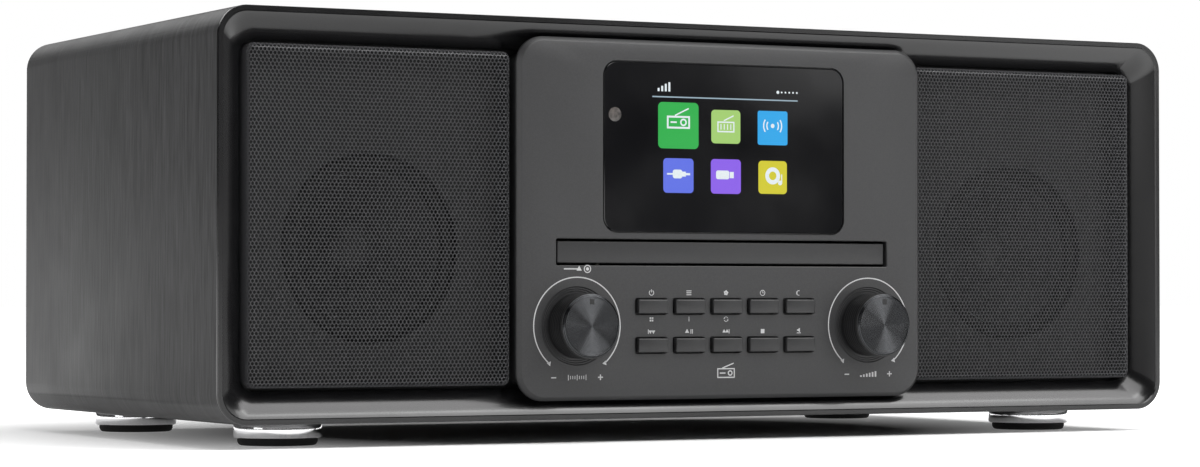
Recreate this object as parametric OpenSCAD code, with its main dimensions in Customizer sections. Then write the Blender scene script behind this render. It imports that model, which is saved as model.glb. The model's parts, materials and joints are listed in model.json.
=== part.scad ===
// Tabletop radio: a wrapped board cabinet with a moulded front, two speakers, a colour display,
// a motor-driven disc drawer, ten push buttons, two rotary knobs and a telescopic rear antenna.
// Millimetres. +X right, +Y to the back, +Z up, origin under the middle of the whole object.

/* [Cabinet] */
// Width of the cabinet and its front rim
body_w = 400; // [380:1:490]
// Height of the cabinet without its feet
body_h = 145; // [138:1:180]
// Depth from the front of the rim to the rear edge
body_d = 206; // [200:1:260]
// Outer corner radius of the cabinet
body_r = 11; // [8:0.5:14]
// Thickness of the cabinet boards
board_t = 9; // [8:0.5:10]
// Thickness of the rear panel
rear_t = 4; // [3:0.5:5]
// How far the rear panel sits inside the rear edge
rear_inset = 4; // [2:0.5:6]

/* [Feet] */
// Height of the chrome part of a foot
foot_h = 6; // [4:0.5:10]
// Radius of the chrome part of a foot
foot_r = 15.8; // [12:0.2:20]
// Height of the rubber pad
pad_h = 2.5; // [1.5:0.5:4]
// Distance from the cabinet's side to a foot's centre
foot_side = 37.6; // [25:0.2:60]
// Distance from the rim's front to the front feet's centres
foot_front = 37.4; // [20:0.2:60]
// Distance from the rear edge to the rear feet's centres
foot_back = 23.4; // [20:0.2:60]

/* [Front bezel] */
// Width of the bezel's flat lip
lip_w = 1.8; // [1.2:0.1:3]
// Thickness of the lip in front of the cabinet's edge
lip_t = 1.4; // [1:0.1:2]
// How far the bezel's opening sits inside the cabinet's inner wall
bezel_lap = 2; // [1.6:0.1:4]
// Depth of the bezel's cove
cove_d = 8; // [5:0.5:9]
// Depth from the rim to the speaker baffle
baffle_y = 14; // [12:0.5:18]
// Thickness of the speaker baffle
baffle_t = 3; // [2:0.5:5]

/* [Grilles] */
// Gap between a grille and the bezel's opening
grille_gap = 1.5; // [0.5:0.1:2]
// Depth of a grille's face behind the rim
grille_y = 3; // [2:0.5:5]
// Thickness of the perforated sheet
grille_t = 0.8; // [0.6:0.1:1.2]

/* [Fascia] */
// Width of the centre fascia
fascia_w = 171.4; // [168:0.2:180]
// Distance from the cabinet's top, and bottom, to the fascia
fascia_margin = 6.8; // [5:0.1:10]
// Corner radius of the fascia
fascia_r = 10.7; // [6:0.1:14]
// How far the fascia's face stands in front of the rim
fascia_proud = 1.5; // [1:0.1:3]
// Thickness of the fascia's plate
fascia_t = 3; // [2.5:0.1:4]
// Width and depth of the fascia's edge bevel
fascia_bevel = 1.8; // [1:0.1:2.2]

/* [Display] */
// Width of the display lens
lens_w = 101.8; // [90:0.2:110]
// Height of the display lens
lens_h = 61.9; // [56:0.2:64]
// Thickness of the display lens
lens_t = 1.5; // [1:0.1:1.8]
// Height of the lens's centre above the middle of the cabinet
lens_up = 26.5; // [25:0.5:28]
// Width of the display module's picture
picture_w = 62; // [56:0.5:68]
// Height of the display module's picture
picture_h = 45.6; // [40:0.2:50]

/* [Disc drawer] */
// Radius of the disc the tray carries
disc_r = 60; // [40:0.5:61]
// How far the drawer's slot reaches past the disc on each side
slot_side = 10.45; // [9:0.05:12]
// Height of the drawer's slot
slot_h = 9.7; // [9.5:0.1:10.5]
// Distance of the slot's centre below the middle of the cabinet
slot_down = 12; // [11:0.5:13]
// Gap around the drawer's front
slot_gap = 0.85; // [0.5:0.05:1.2]
// How far the tray reaches past the disc on each side
tray_side = 4; // [3:0.5:6]
// Length of the tray beyond the disc's diameter
tray_tail = 40; // [38:1:44]
// Running gap between the tray and its rails
rail_gap = 0.3; // [0.1:0.05:0.5]

/* [Controls] */
// Radius of a knob
knob_r = 11.8; // [10:0.1:14]
// Distance from the fascia's face to a knob's face
knob_proud = 11.75; // [9:0.25:16]
// Distance of a knob's axis from the middle
knob_x = 62; // [60:0.5:66]
// Distance of a knob's axis below the middle of the cabinet
knob_down = 38.7; // [36:0.1:40]
// Width of a button
button_w = 12.4; // [10:0.1:12.8]
// Height of a button
button_h = 5.1; // [4:0.1:6]
// Gap between button columns
button_gutter = 3.3; // [3:0.1:4]
// Gap between button rows, where the marks stand
button_row_gap = 9.1; // [7:0.1:10]
// Distance of the lower row below the middle of the cabinet
button_down = 45.9; // [44:0.1:47]
// How far a button stands in front of the fascia
button_proud = 1.8; // [0.6:0.1:3]
// Gap around a button
button_gap = 0.3; // [0.2:0.05:0.5]
// How far a button travels
button_travel = 0.8; // [0.4:0.1:1]

/* [Speakers] */
// Radius of a speaker's flange
flange_r = 41; // [38:0.5:44]
// Radius of a speaker's cone
cone_r = 28; // [26:0.5:29]
// Distance of the speakers' axis below the middle of the cabinet
speaker_down = 11; // [0:0.5:14]

/* [Antenna] */
// Length of each antenna section
antenna_len = 200; // [120:5:210]
// Outer radius of the thickest section
antenna_r = 3; // [2.8:0.1:4]
// Step in radius from one section to the next
antenna_step = 0.6; // [0.5:0.05:0.7]
// Sliding gap between two sections
antenna_gap = 0.05; // [0.03:0.01:0.08]

/* [Hidden] */
$fn = 48;
eps = 0.01;
fit_gap = 0.3;
running_gap = 0.04;

// Heights above the floor
base_z = foot_h + pad_h;
mid_z = base_z + body_h / 2;
floor_z = base_z + board_t;
knob_z = mid_z - knob_down;
speaker_z = mid_z - speaker_down;
lens_z = mid_z + lens_up;
slot_z = mid_z - slot_down;

// Sizes that follow from others
bezel_w = board_t + bezel_lap;
fascia_h = body_h - 2 * fascia_margin;
slot_w = 2 * (disc_r + slot_side);
tray_w = 2 * (disc_r + tray_side);
tray_len = 2 * disc_r + tray_tail;
button_pitch = button_w + button_gutter;
button_rows = button_h + button_row_gap;

// Openings of the cabinet and the bezel
inner_w = body_w - 2 * board_t;
inner_h = body_h - 2 * board_t;
inner_r = 4;
mouth_w = body_w - 2 * bezel_w;
mouth_h = body_h - 2 * bezel_w;
mouth_r = 5;
rebate_t = 2.5;
rebate_y = 10;

// Depths behind the rim's front plane
face_y = -fascia_proud;
plate_y = face_y + fascia_t;
board_y = 9.5;
pcb_t = 1.6;
baffle_back = baffle_y + baffle_t;
rear_out_y = body_d - rear_inset;
rear_in_y = rear_out_y - rear_t;

// Antenna fork behind the rear edge
antenna_x = body_w / 2 - 35;
antenna_z = mid_z + body_h / 2 - 25.5;
antenna_y = body_d + 6;
fork_end_y = antenna_y + 4;
elbow_len = 14;
socket_depth = 8;

// The whole object is centred on its depth
front_y = face_y - knob_proud;
centre_y = (front_y + fork_end_y) / 2;

// Speakers and grilles
skirt_w = fascia_w - 3.4;
skirt_h = mouth_h - 2.4;
skirt_t = 2.5;
skirt_r = 6;
grille_in = fascia_w / 2 + 0.5;
grille_out = mouth_w / 2 - grille_gap;
grille_h = mouth_h - 2 * grille_gap;
grille_r = 4;
speaker_x = (grille_in + grille_out) / 2;
speaker_hole_r = cone_r + 6;
screw_ring_r = flange_r - 2.5;
coil_in_r = 9.8;
coil_out_r = 10.3;
coil_gap = 0.4;

// Disc mechanism
front_in = 1;
front_t = 3;
tray_y = face_y + front_in + front_t;
tray_bottom = slot_z - 3.65;
tray_plate_z = tray_bottom + 4.1;
tray_plate_t = 1.5;
tray_top = tray_bottom + 7.5;
skirt_rib = 3;
disc_gap = 0.5;
disc_y = tray_y + 3 + disc_r + disc_gap;
rail_x = tray_w / 2 + rail_gap;
rail_t = 3.7;
cover_t = 1.2;
cover_z = tray_top + 1.6;
board_in = 6;
board_half = disc_r - 2;
chassis_y = baffle_back + 1;
chassis_end = tray_y + tray_len + 14;
deck_z = tray_bottom - 19.4;
deck_t = 2;
rod_z = deck_z + 7;
rod_x = 19;
rod_r = 1.5;
rod_lead = 0.32;
rod_start = disc_y - rod_lead * disc_r;
rod_end = disc_y + 76;
rod_wall = 3;

// Tray drive
tooth_pitch = PI;
addendum = 0.75;
dedendum = 1.0;
backlash = 0.5;
pinion_teeth = 16;
pinion_r = pinion_teeth / 2;
motor_teeth = 10;
motor_r = motor_teeth / 2;
rack_x = -tray_w / 2 + skirt_rib + 1;
pinion_x = rack_x + pinion_r;
pinion_y = chassis_y + 9;
gear_z = tray_bottom + 0.2;
gear_t = 3.4;
motor_x = pinion_x + pinion_r + motor_r;

// Rear sockets
socket_z = floor_z + 26;
dc_x = 28;
aux_x = 48;
usb_x = 72;
aux_r = 1.8;
aux_len = 14;
usb_w = 13.2;
usb_h = 5.8;

// Every piece is drawn with its depth measured from the rim, then moved to the object's centre
module place() {
    translate([0, -centre_y, 0]) children();
}

module rounded(w, h, r) {
    square([w - 2 * r, h], center = true);
    square([w, h - 2 * r], center = true);
    for (sx = [-1, 1], sy = [-1, 1])
        translate([sx * (w / 2 - r), sy * (h / 2 - r)]) circle(r = r);
}

// A flat outline in X and Z, given a depth from y0 to y1
module slab(y0, y1, x = 0, z = 0) {
    translate([x, y1, z]) rotate([90, 0, 0]) linear_extrude(y1 - y0) children();
}

module rod_y(r, y0, y1, x = 0, z = 0) {
    translate([x, y1, z]) rotate([90, 0, 0]) cylinder(r = r, h = y1 - y0);
}

// A cone along Y: r0 at the front and r1 at the back
module cone_y(r0, r1, y0, y1, x = 0, z = 0) {
    translate([x, y1, z]) rotate([90, 0, 0]) cylinder(r1 = r1, r2 = r0, h = y1 - y0);
}

module block(x0, x1, y0, y1, z0, z1) {
    translate([x0, y0, z0]) cube([x1 - x0, y1 - y0, z1 - z0]);
}

module corners(x, z) {
    for (sx = [-1, 1], sz = [-1, 1]) translate([sx * x, 0, mid_z + sz * z]) children();
}

// Cabinet

batten = 14;
panel_screw_x = inner_w / 2 - batten / 2;
panel_screw_z = inner_h / 2 - batten / 2;
panel_screw_r = 1.75;
foot_screw_r = 2;

module foot_spots() {
    for (sx = [-1, 1], y = [foot_front, body_d - foot_back])
        translate([sx * (body_w / 2 - foot_side), y, 0]) children();
}

module cabinet_shell() color("#3a3a3a") place() {
    difference() {
        slab(lip_t, body_d, z = mid_z) rounded(body_w, body_h, body_r);
        slab(0, body_d + 1, z = mid_z) rounded(inner_w, inner_h, inner_r);
        slab(0, rebate_y, z = mid_z)
            rounded(body_w - 2 * rebate_t, body_h - 2 * rebate_t, body_r - rebate_t);
        foot_spots() translate([0, 0, base_z - 1]) cylinder(r = foot_screw_r, h = board_t);
    }
    corners(panel_screw_x, panel_screw_z) difference() {
        block(-batten / 2, batten / 2, rear_in_y - batten, rear_in_y, -batten / 2, batten / 2);
        rod_y(panel_screw_r, rear_in_y - 10, rear_in_y + 1);
    }
}

module feet() color("#c8c8cc") place() foot_spots() difference() {
    translate([0, 0, pad_h]) cylinder(r = foot_r, h = foot_h);
    translate([0, 0, pad_h - 1]) cylinder(r = 5, h = foot_h - 1.5);
    translate([0, 0, pad_h]) cylinder(r = foot_screw_r + fit_gap, h = foot_h + 1);
}

module foot_pads() color("#181818") place() foot_spots() difference() {
    cylinder(r1 = foot_r - 2.4, r2 = foot_r - 1.4, h = pad_h);
    translate([0, 0, -1]) cylinder(r = 5, h = pad_h + 2);
}

module foot_screws() color("#9a9a9a") place() foot_spots() {
    translate([0, 0, pad_h + foot_h - 4.5]) cylinder(r = 4, h = 2);
    translate([0, 0, pad_h + foot_h - 2.5]) cylinder(r = foot_screw_r, h = 9);
}

// Front

module front_bezel() color("#1c1c1e") place() {
    difference() {
        union() {
            slab(0, lip_t, z = mid_z) rounded(body_w, body_h, body_r);
            slab(lip_t, rebate_y - 0.2, z = mid_z) rounded(
                body_w - 2 * rebate_t - fit_gap, body_h - 2 * rebate_t - fit_gap, body_r - rebate_t);
            slab(rebate_y - 0.2, baffle_back, z = mid_z)
                rounded(inner_w - fit_gap, inner_h - fit_gap, inner_r);
        }
        slab(cove_d - 1, baffle_y, z = mid_z) rounded(mouth_w, mouth_h, mouth_r);
        hull() {
            slab(-eps, 0, z = mid_z)
                rounded(body_w - 2 * lip_w, body_h - 2 * lip_w, body_r - lip_w, $fn = 32);
            slab(cove_d - eps, cove_d, z = mid_z) rounded(mouth_w, mouth_h, mouth_r, $fn = 32);
        }
        for (sx = [-1, 1]) rod_y(speaker_hole_r, 0, baffle_back + 1, sx * speaker_x, speaker_z);
        slab(0, baffle_back + 1, z = mid_z) square([skirt_w - 10, skirt_h - 4], center = true);
        speaker_screw_spots() rod_y(1.5, baffle_y - 1, baffle_back + 1);
    }
}

module grille(side) {
    w = grille_out - grille_in;
    x = side * (grille_in + grille_out) / 2;
    color("#242424") place() difference() {
        slab(grille_y, baffle_y, x, mid_z) rounded(w, grille_h, grille_r);
        slab(grille_y + grille_t, baffle_y + 1, x, mid_z)
            rounded(w - 2 * grille_t, grille_h - 2 * grille_t, grille_r - grille_t);
    }
}

lcd_w = picture_w + 8;
lcd_h = picture_h + 7;
ir_x = -46.5;
ir_up = 11.7;
well_margin = 2.5;
well_r = knob_r + well_margin;
well_d = 1;
bushing_r = 4.5;

module button_spots() {
    for (col = [-2:2], row = [0, 1])
        translate([col * button_pitch, 0, mid_z - button_down + row * button_rows]) children();
}

module board_posts() {
    for (sx = [-1, 1], z = [knob_z - 15, knob_z + 15])
        rod_y(2, plate_y, board_y, sx * (skirt_w / 2 - skirt_t - 4), z);
}

module fascia_panel() color("#3e4043") place() {
    difference() {
        union() {
            slab(face_y + fascia_bevel, plate_y, z = mid_z) rounded(fascia_w, fascia_h, fascia_r);
            hull() {
                slab(face_y, face_y + eps, z = mid_z) rounded(fascia_w - 2 * fascia_bevel,
                    fascia_h - 2 * fascia_bevel, fascia_r - fascia_bevel, $fn = 32);
                slab(face_y + fascia_bevel - eps, face_y + fascia_bevel, z = mid_z)
                    rounded(fascia_w, fascia_h, fascia_r, $fn = 32);
            }
        }
        slab(face_y - 1, face_y + lens_t, z = lens_z)
            rounded(lens_w + fit_gap, lens_h + fit_gap, 5.5);
        slab(face_y, plate_y + 1, z = lens_z)
            square([picture_w + 2, picture_h + 2], center = true);
        rod_y(3.2, face_y, plate_y + 1, ir_x, lens_z + ir_up);
        slab(face_y - 1, plate_y + 1, z = slot_z) square([slot_w, slot_h], center = true);
        for (sx = [-1, 1]) {
            rod_y(well_r, face_y - 1, face_y + well_d, sx * knob_x, knob_z);
            rod_y(bushing_r + 0.2, face_y, plate_y + 1, sx * knob_x, knob_z);
        }
        button_spots() slab(face_y - 1, plate_y + 1)
            square([button_w + 2 * button_gap, button_h + 2 * button_gap], center = true);
    }
    slab(plate_y, baffle_y, z = mid_z) difference() {
        rounded(skirt_w, skirt_h, skirt_r);
        rounded(skirt_w - 2 * skirt_t, skirt_h - 2 * skirt_t, skirt_r - skirt_t);
    }
    board_posts();
}

module display_lens() color("#0a0a0c") place()
    slab(face_y, face_y + lens_t, z = lens_z) rounded(lens_w, lens_h, 5.35);

module lcd_module() color("#16181c") place() {
    slab(plate_y, plate_y + 3.5, z = lens_z) square([lcd_w, lcd_h], center = true);
    slab(face_y + lens_t + 0.2, plate_y, z = lens_z) square([picture_w, picture_h], center = true);
}

module ir_receiver() color("#54504e") place() {
    rod_y(2.6, face_y + lens_t + 0.1, plate_y + 0.5, ir_x, lens_z + ir_up);
    slab(plate_y + 0.5, plate_y + 4.5, ir_x, lens_z + ir_up) square([6, 7], center = true);
}

// Controls

board_h = 36;

module control_board() color("#1d5c34") place()
    slab(board_y, board_y + pcb_t, z = knob_z)
        rounded(skirt_w - 2 * skirt_t - 1, board_h, skirt_r - skirt_t);

switch_y = 6;
stem_r = 1.2;
stem_in = 0.4;
stem_room = 0.6;

module tact_switches() color("#202020") place() button_spots() difference() {
    slab(switch_y, board_y) square([6, 6], center = true);
    rod_y(stem_r + fit_gap, switch_y - 1, switch_y + stem_in + button_travel + stem_room);
}

module push_button(col, row) {
    z = mid_z - button_down + row * button_rows;
    color("#303235") place() translate([col * button_pitch, 0, z]) {
        slab(face_y - button_proud, plate_y + 0.1) square([button_w, button_h], center = true);
        slab(plate_y + 0.1, plate_y + 0.9) square([button_w + 2, button_h + 1.9], center = true);
        rod_y(stem_r, plate_y + 0.9, switch_y + stem_in);
    }
}

shaft_r = 3;
encoder_y = 3;
bushing_y = -3;
shaft_end = 7.3;
plunger_t = 1.1;

module encoder(side, with_plunger) {
    color("#8a8d90") place() translate([side * knob_x, 0, knob_z]) difference() {
        union() {
            slab(encoder_y, board_y) square([12, 12], center = true);
            rod_y(bushing_r, bushing_y, encoder_y);
        }
        rod_y(shaft_r + running_gap, bushing_y - 1, shaft_end + 0.1);
        if (with_plunger) rod_y(3.8, shaft_end - 0.05, board_y - 0.2);
    }
}

module knob_shaft(side) color("#b5b5b8") place()
    rod_y(shaft_r, front_y + 1.75, shaft_end, side * knob_x, knob_z);

module tune_push_plunger() color("#d0d0d0") place()
    rod_y(3.6, shaft_end, shaft_end + plunger_t, -knob_x, knob_z);

cap_t = 0.75;
cap_r = knob_r - 1.2;
knob_back = face_y + 0.1;

module knob(side) color("#151515") place() translate([side * knob_x, 0, knob_z]) difference() {
    rod_y(knob_r, front_y + cap_t, knob_back);
    rod_y(knob_r - 1.8, bushing_y - 1, knob_back + 1);
    rod_y(shaft_r, front_y + 1.75, bushing_y);
}

module knob_cap(side) color("#4a4c50") place()
    rod_y(cap_r, front_y, front_y + cap_t, side * knob_x, knob_z);

// Speakers

module speaker_screw_spots() {
    for (sx = [-1, 1], k = [0:3]) translate([sx * speaker_x, 0, speaker_z])
        rotate([0, 45 + 90 * k, 0]) translate([screw_ring_r, 0, 0]) children();
}

basket_back = baffle_back + 21;

module speaker_basket(side) color("#202022") place() difference() {
    union() {
        rod_y(flange_r, baffle_back, baffle_back + 2, side * speaker_x, speaker_z);
        cone_y(speaker_hole_r + 2, 21, baffle_back + 2, basket_back, side * speaker_x, speaker_z);
        rod_y(21, basket_back, basket_back + 2, side * speaker_x, speaker_z);
    }
    rod_y(speaker_hole_r, baffle_back - 1, baffle_back + 2, side * speaker_x, speaker_z);
    cone_y(speaker_hole_r, 19, baffle_back + 2 - eps, basket_back, side * speaker_x, speaker_z);
    rod_y(12, basket_back - 1, basket_back + 3, side * speaker_x, speaker_z);
    for (k = [0:3]) translate([side * speaker_x, 0, speaker_z]) rotate([0, 90 * k, 0])
        block(18, 45, baffle_back + 5, basket_back - 3, -9, 9);
    speaker_screw_spots() rod_y(1.7, baffle_back - 1, baffle_back + 3);
}

module speaker_magnet(side) color("#55585c") place() translate([side * speaker_x, 0, speaker_z]) {
    difference() {
        union() {
            rod_y(25, basket_back + 2, basket_back + 6);
            rod_y(28, basket_back + 6, basket_back + 16);
            rod_y(25, basket_back + 16, basket_back + 20);
        }
        rod_y(coil_out_r + coil_gap, basket_back + 1, basket_back + 16);
    }
    rod_y(coil_in_r - coil_gap, basket_back + 3, basket_back + 16);
}

cone_t = 0.8;
cone_back = baffle_back + 15;

module speaker_cone(side) color("#2c2c2e") place() translate([side * speaker_x, 0, speaker_z]) {
    difference() {
        cone_y(cone_r, coil_out_r, baffle_back + 0.4, cone_back);
        cone_y(cone_r - cone_t, coil_out_r - cone_t, baffle_back + 0.4 - eps, cone_back - cone_t);
        rod_y(coil_in_r, cone_back - 2, cone_back + 1);
    }
    difference() {
        rod_y(coil_out_r, cone_back, basket_back + 8);
        rod_y(coil_in_r, cone_back - 1, basket_back + 9);
    }
    translate([0, cone_back - 1, 0]) rotate([90, 0, 0]) rotate_extrude()
        difference() {
            intersection() {
                translate([0, -8]) circle(r = 14.6);
                square([coil_out_r + 1.2, 10]);
            }
            translate([0, -8]) circle(r = 13.8);
        }
}

module speaker_surround(side) color("#171717") place() translate([side * speaker_x, 0, speaker_z])
    rotate([90, 0, 0]) rotate_extrude() {
        inner = cone_r + fit_gap;
        translate([inner, -baffle_back - 1.4]) square([speaker_hole_r - inner, 1]);
        translate([(inner + speaker_hole_r) / 2, -baffle_back - 0.4]) intersection() {
            circle(r = 2);
            translate([-2, 0]) square([4, 2]);
        }
    }

module speaker_screws() color("#8c8c90") place() speaker_screw_spots() {
    rod_y(1.5, baffle_y + 0.5, baffle_back + 2);
    rod_y(2.4, baffle_back + 2, baffle_back + 3.6);
}

// Disc drawer

module tooth(r, pitch_half) {
    polygon([
        [r - dedendum - 0.2, -pitch_half - 0.36], [r + addendum, -pitch_half + 0.27],
        [r + addendum, pitch_half - 0.27], [r - dedendum - 0.2, pitch_half + 0.36]
    ]);
}

module gear(teeth, turn) {
    half = (tooth_pitch / 2 - backlash) / 2;
    circle(r = teeth / 2 - dedendum);
    for (k = [0:teeth - 1]) rotate(turn + 360 * k / teeth) tooth(teeth / 2, half);
}

module rack_teeth() {
    half = (tooth_pitch / 2 - backlash) / 2;
    count = floor((tray_y + tray_len - pinion_y) / tooth_pitch);
    for (k = [0:count - 1]) translate([rack_x, pinion_y + (k - 0.5) * tooth_pitch])
        polygon([
            [-dedendum - 0.1, -half - 0.36], [addendum, -half + 0.27],
            [addendum, half - 0.27], [-dedendum - 0.1, half + 0.36]
        ]);
}

module cd_tray() color("#26282a") place() {
    difference() {
        union() {
            block(-tray_w / 2, tray_w / 2, tray_y, tray_y + tray_len, tray_plate_z, tray_top);
            for (sx = [-1, 1]) translate([sx * (tray_w - skirt_rib) / 2, 0, 0])
                block(-skirt_rib / 2, skirt_rib / 2, tray_y, tray_y + tray_len,
                    tray_bottom, tray_plate_z);
        }
        translate([0, disc_y, tray_plate_z + tray_plate_t])
            cylinder(r = disc_r + disc_gap, h = 5);
        translate([0, disc_y, tray_plate_z - 1]) cylinder(r = 20, h = 5);
        block(-17, 17, disc_y, disc_y + 50, tray_plate_z - 1, tray_top + 1);
    }
    translate([0, 0, tray_bottom]) linear_extrude(gear_t + 0.7) rack_teeth();
}

module cd_tray_front() color("#2e3033") place() {
    w = slot_w - 2 * slot_gap;
    h = slot_h - 2 * slot_gap;
    slab(face_y + front_in, tray_y, z = slot_z) square([w, h], center = true);
}

module cd_chassis() color("#3c3f42") place() {
    for (sx = [-1, 1]) mirror([sx < 0 ? 1 : 0, 0, 0]) {
        block(rail_x, rail_x + rail_t, chassis_y, chassis_end, floor_z, tray_top + 2);
        block(rail_x - 3.5, rail_x + 1, chassis_y, chassis_end,
            tray_bottom - 1.4, tray_bottom - 0.1);
        block(rail_x - 2.5, rail_x + 1, chassis_y, chassis_end, tray_top + 0.2, cover_z);
    }
    block(-rail_x - 1, rail_x + 1, chassis_y, chassis_end, cover_z, cover_z + cover_t);
    difference() {
        block(-rail_x - 1, rail_x + 1, chassis_y, chassis_end, deck_z - 2, deck_z);
        for (sx = [-1, 1]) block(sx * 46 - 8, sx * 46 + 8, disc_y - 10, disc_y + 60,
            deck_z - 3, deck_z + 1);
    }
    translate([pinion_x, pinion_y, deck_z - 1]) cylinder(r = 4, h = gear_z - 0.2 - deck_z + 1);
    translate([pinion_x, pinion_y, deck_z - 1]) cylinder(r = 2, h = gear_z + gear_t - deck_z + 1);
}

module tray_pinion() color("#e4e0d0") place() translate([pinion_x, pinion_y, gear_z])
    linear_extrude(gear_t) difference() {
        gear(pinion_teeth, 0);
        circle(r = 2 + running_gap);
    }

motor_can_r = 8.5;
motor_top = gear_z - 3;

module loading_motor() color("#b0b2b6") place() translate([motor_x, pinion_y, 0]) difference() {
    translate([0, 0, deck_z]) cylinder(r = motor_can_r, h = motor_top - deck_z);
    translate([0, 0, motor_top - 10]) cylinder(r = 1 + running_gap, h = 12);
}

module motor_gear() color("#e4e0d0") place() translate([motor_x, pinion_y, 0]) {
    translate([0, 0, gear_z]) linear_extrude(gear_t - 0.4) gear(motor_teeth, 180 / motor_teeth);
    translate([0, 0, motor_top - 9.5]) cylinder(r = 1, h = gear_z - motor_top + 9.6);
}

spindle_top = deck_z + deck_t + 10;

module spindle_motor() color("#b0b2b6") place() translate([0, disc_y, 0]) difference() {
    translate([0, 0, deck_z + deck_t]) cylinder(r = 12, h = spindle_top - deck_z - deck_t);
    translate([0, 0, spindle_top - 8]) cylinder(r = 1 + running_gap, h = 9);
}

module turntable() color("#202020") place() translate([0, disc_y, 0]) {
    translate([0, 0, spindle_top + 1.5]) cylinder(r = 14, h = 2.5);
    translate([0, 0, spindle_top + 4]) cylinder(r1 = 7.3, r2 = 6.2, h = 2.4);
    translate([0, 0, spindle_top - 7.5]) cylinder(r = 1, h = 9.1);
}

module traverse_deck() color("#9da0a4") place() {
    block(-26, 26, rod_start - rod_wall, rod_end + rod_wall, deck_z, deck_z + deck_t);
    for (y = [rod_start - rod_wall, rod_end]) block(-26, 26, y, y + rod_wall, deck_z, rod_z + 4);
    for (sx = [-1, 1]) rod_y(rod_r, rod_start - 1, rod_end + 1, sx * rod_x, rod_z);
}

module optical_pickup() color("#35373a") place() {
    difference() {
        block(-24, 24, disc_y + 17, disc_y + 37, rod_z - 3, rod_z + 6.5);
        for (sx = [-1, 1]) rod_y(rod_r + running_gap, disc_y + 10, disc_y + 40,
            sx * rod_x, rod_z);
    }
    translate([0, disc_y + 22, rod_z + 6]) cylinder(r = 3, h = 2.5);
}

// Electronics and rear

module main_board() color("#1d5c34") place() {
    top = floor_z + 8.1;
    block(-board_half, board_half, 42, chassis_end, top - pcb_t, top);
    for (sx = [-1, 1], y = [50, chassis_end - 8])
        translate([sx * (board_half - board_in), y, floor_z])
            cylinder(r = 3, h = top - pcb_t - floor_z);
    for (k = [0:4]) block(-50, -12, 60 + 5 * k, 62 + 5 * k, top, top + 12);
    block(-50, -12, 60, 82, top, top + 2);
    for (x = [10, 24, 38]) translate([x, 70, top]) cylinder(r = 5, h = 14);
    block(-20, 20, 110, 145, top, top + 2.5);
    block(30, 46, 110, 126, top, top + 11);
}

module socket_cut(gap) {
    slab(rear_in_y - 1, rear_out_y + 1, dc_x, socket_z)
        square([11 + 2 * gap, 11 + 2 * gap], center = true);
    rod_y(4 + gap, rear_in_y - 1, rear_out_y + 1, aux_x, socket_z);
    slab(rear_in_y - 1, rear_out_y + 1, usb_x, socket_z)
        square([usb_w + 2 + 2 * gap, usb_h + 2 + 2 * gap], center = true);
}

module rear_sockets() color("#101010") place() {
    pcb_y = rear_out_y - 18;
    difference() {
        union() {
            slab(pcb_y, rear_out_y, dc_x, socket_z) square([11, 11], center = true);
            rod_y(4, pcb_y, rear_out_y, aux_x, socket_z);
            slab(pcb_y, rear_out_y, usb_x, socket_z) square([usb_w + 2, usb_h + 2], center = true);
            slab(pcb_y - pcb_t, pcb_y, (dc_x + usb_x) / 2, socket_z)
                square([usb_x - dc_x + 26, 24], center = true);
        }
        rod_y(3.2, rear_out_y - 10, rear_out_y + 1, dc_x, socket_z);
        rod_y(aux_r, rear_out_y - aux_len, rear_out_y + 1, aux_x, socket_z);
        slab(rear_out_y - 11, rear_out_y + 1, usb_x, socket_z)
            square([usb_w, usb_h], center = true);
    }
    rod_y(1.05, rear_out_y - 11, rear_out_y - 1.5, dc_x, socket_z);
}

antenna_spigot_r = 5;

module rear_panel() color("#262626") place() difference() {
    slab(rear_in_y, rear_out_y, z = mid_z) rounded(inner_w - 2 * fit_gap, inner_h - 2 * fit_gap, inner_r);
    corners(panel_screw_x, panel_screw_z) rod_y(panel_screw_r + 0.2, rear_in_y - 1, rear_out_y + 1);
    socket_cut(fit_gap);
    rod_y(antenna_spigot_r + running_gap, rear_in_y - 1, rear_out_y + 1, antenna_x, antenna_z);
    for (side = [-1, 1], k = [0:7]) slab(rear_in_y - 1, rear_out_y + 1,
        side * speaker_x, mid_z - 18 + 5 * k) rounded(60, 2.4, 1.19);
}

module rear_panel_screws() color("#77787a") place() corners(panel_screw_x, panel_screw_z) {
    rod_y(panel_screw_r, rear_in_y - 9, rear_out_y);
    rod_y(3.4, rear_out_y, rear_out_y + 2);
}

// Telescopic antenna, lying along -X behind the cabinet

ear_gap = 4.2;
ear_t = 3.3;
hinge_r = 1.5;

module antenna_base() color("#1e1e1e") place() translate([antenna_x, 0, antenna_z]) {
    rod_y(8, rear_in_y - 2.4, rear_in_y - 0.2);
    rod_y(antenna_spigot_r, rear_in_y - 1, rear_out_y + 0.5);
    rod_y(9, rear_out_y + 0.1, body_d);
    for (sz = [-1, 1]) translate([0, 0, sz * (ear_gap + ear_t / 2)])
        block(-4.5, 4.5, body_d - 1, fork_end_y, -ear_t / 2, ear_t / 2);
    translate([0, antenna_y, -ear_gap - 1]) cylinder(r = hinge_r, h = 2 * ear_gap + 2);
}

module antenna_elbow() color("#9fa2a6") place() translate([antenna_x, antenna_y, antenna_z])
    difference() {
        union() {
            translate([0, 0, 0.2 - ear_gap]) cylinder(r = 4, h = 2 * ear_gap - 0.4);
            block(-elbow_len, 0, -4, 4, 0.2 - ear_gap, ear_gap - 0.2);
        }
        translate([0, 0, -ear_gap - 1]) cylinder(r = hinge_r + running_gap, h = 2 * ear_gap + 2);
        translate([-elbow_len - 1, 0, 0]) rotate([0, 90, 0])
            cylinder(r = antenna_r, h = socket_depth + 1);
    }

tube_start = antenna_x - elbow_len + socket_depth;

module rod_x(r, x0, x1) {
    translate([x0, antenna_y, antenna_z]) rotate([0, 90, 0]) cylinder(r = r, h = x1 - x0);
}

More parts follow.
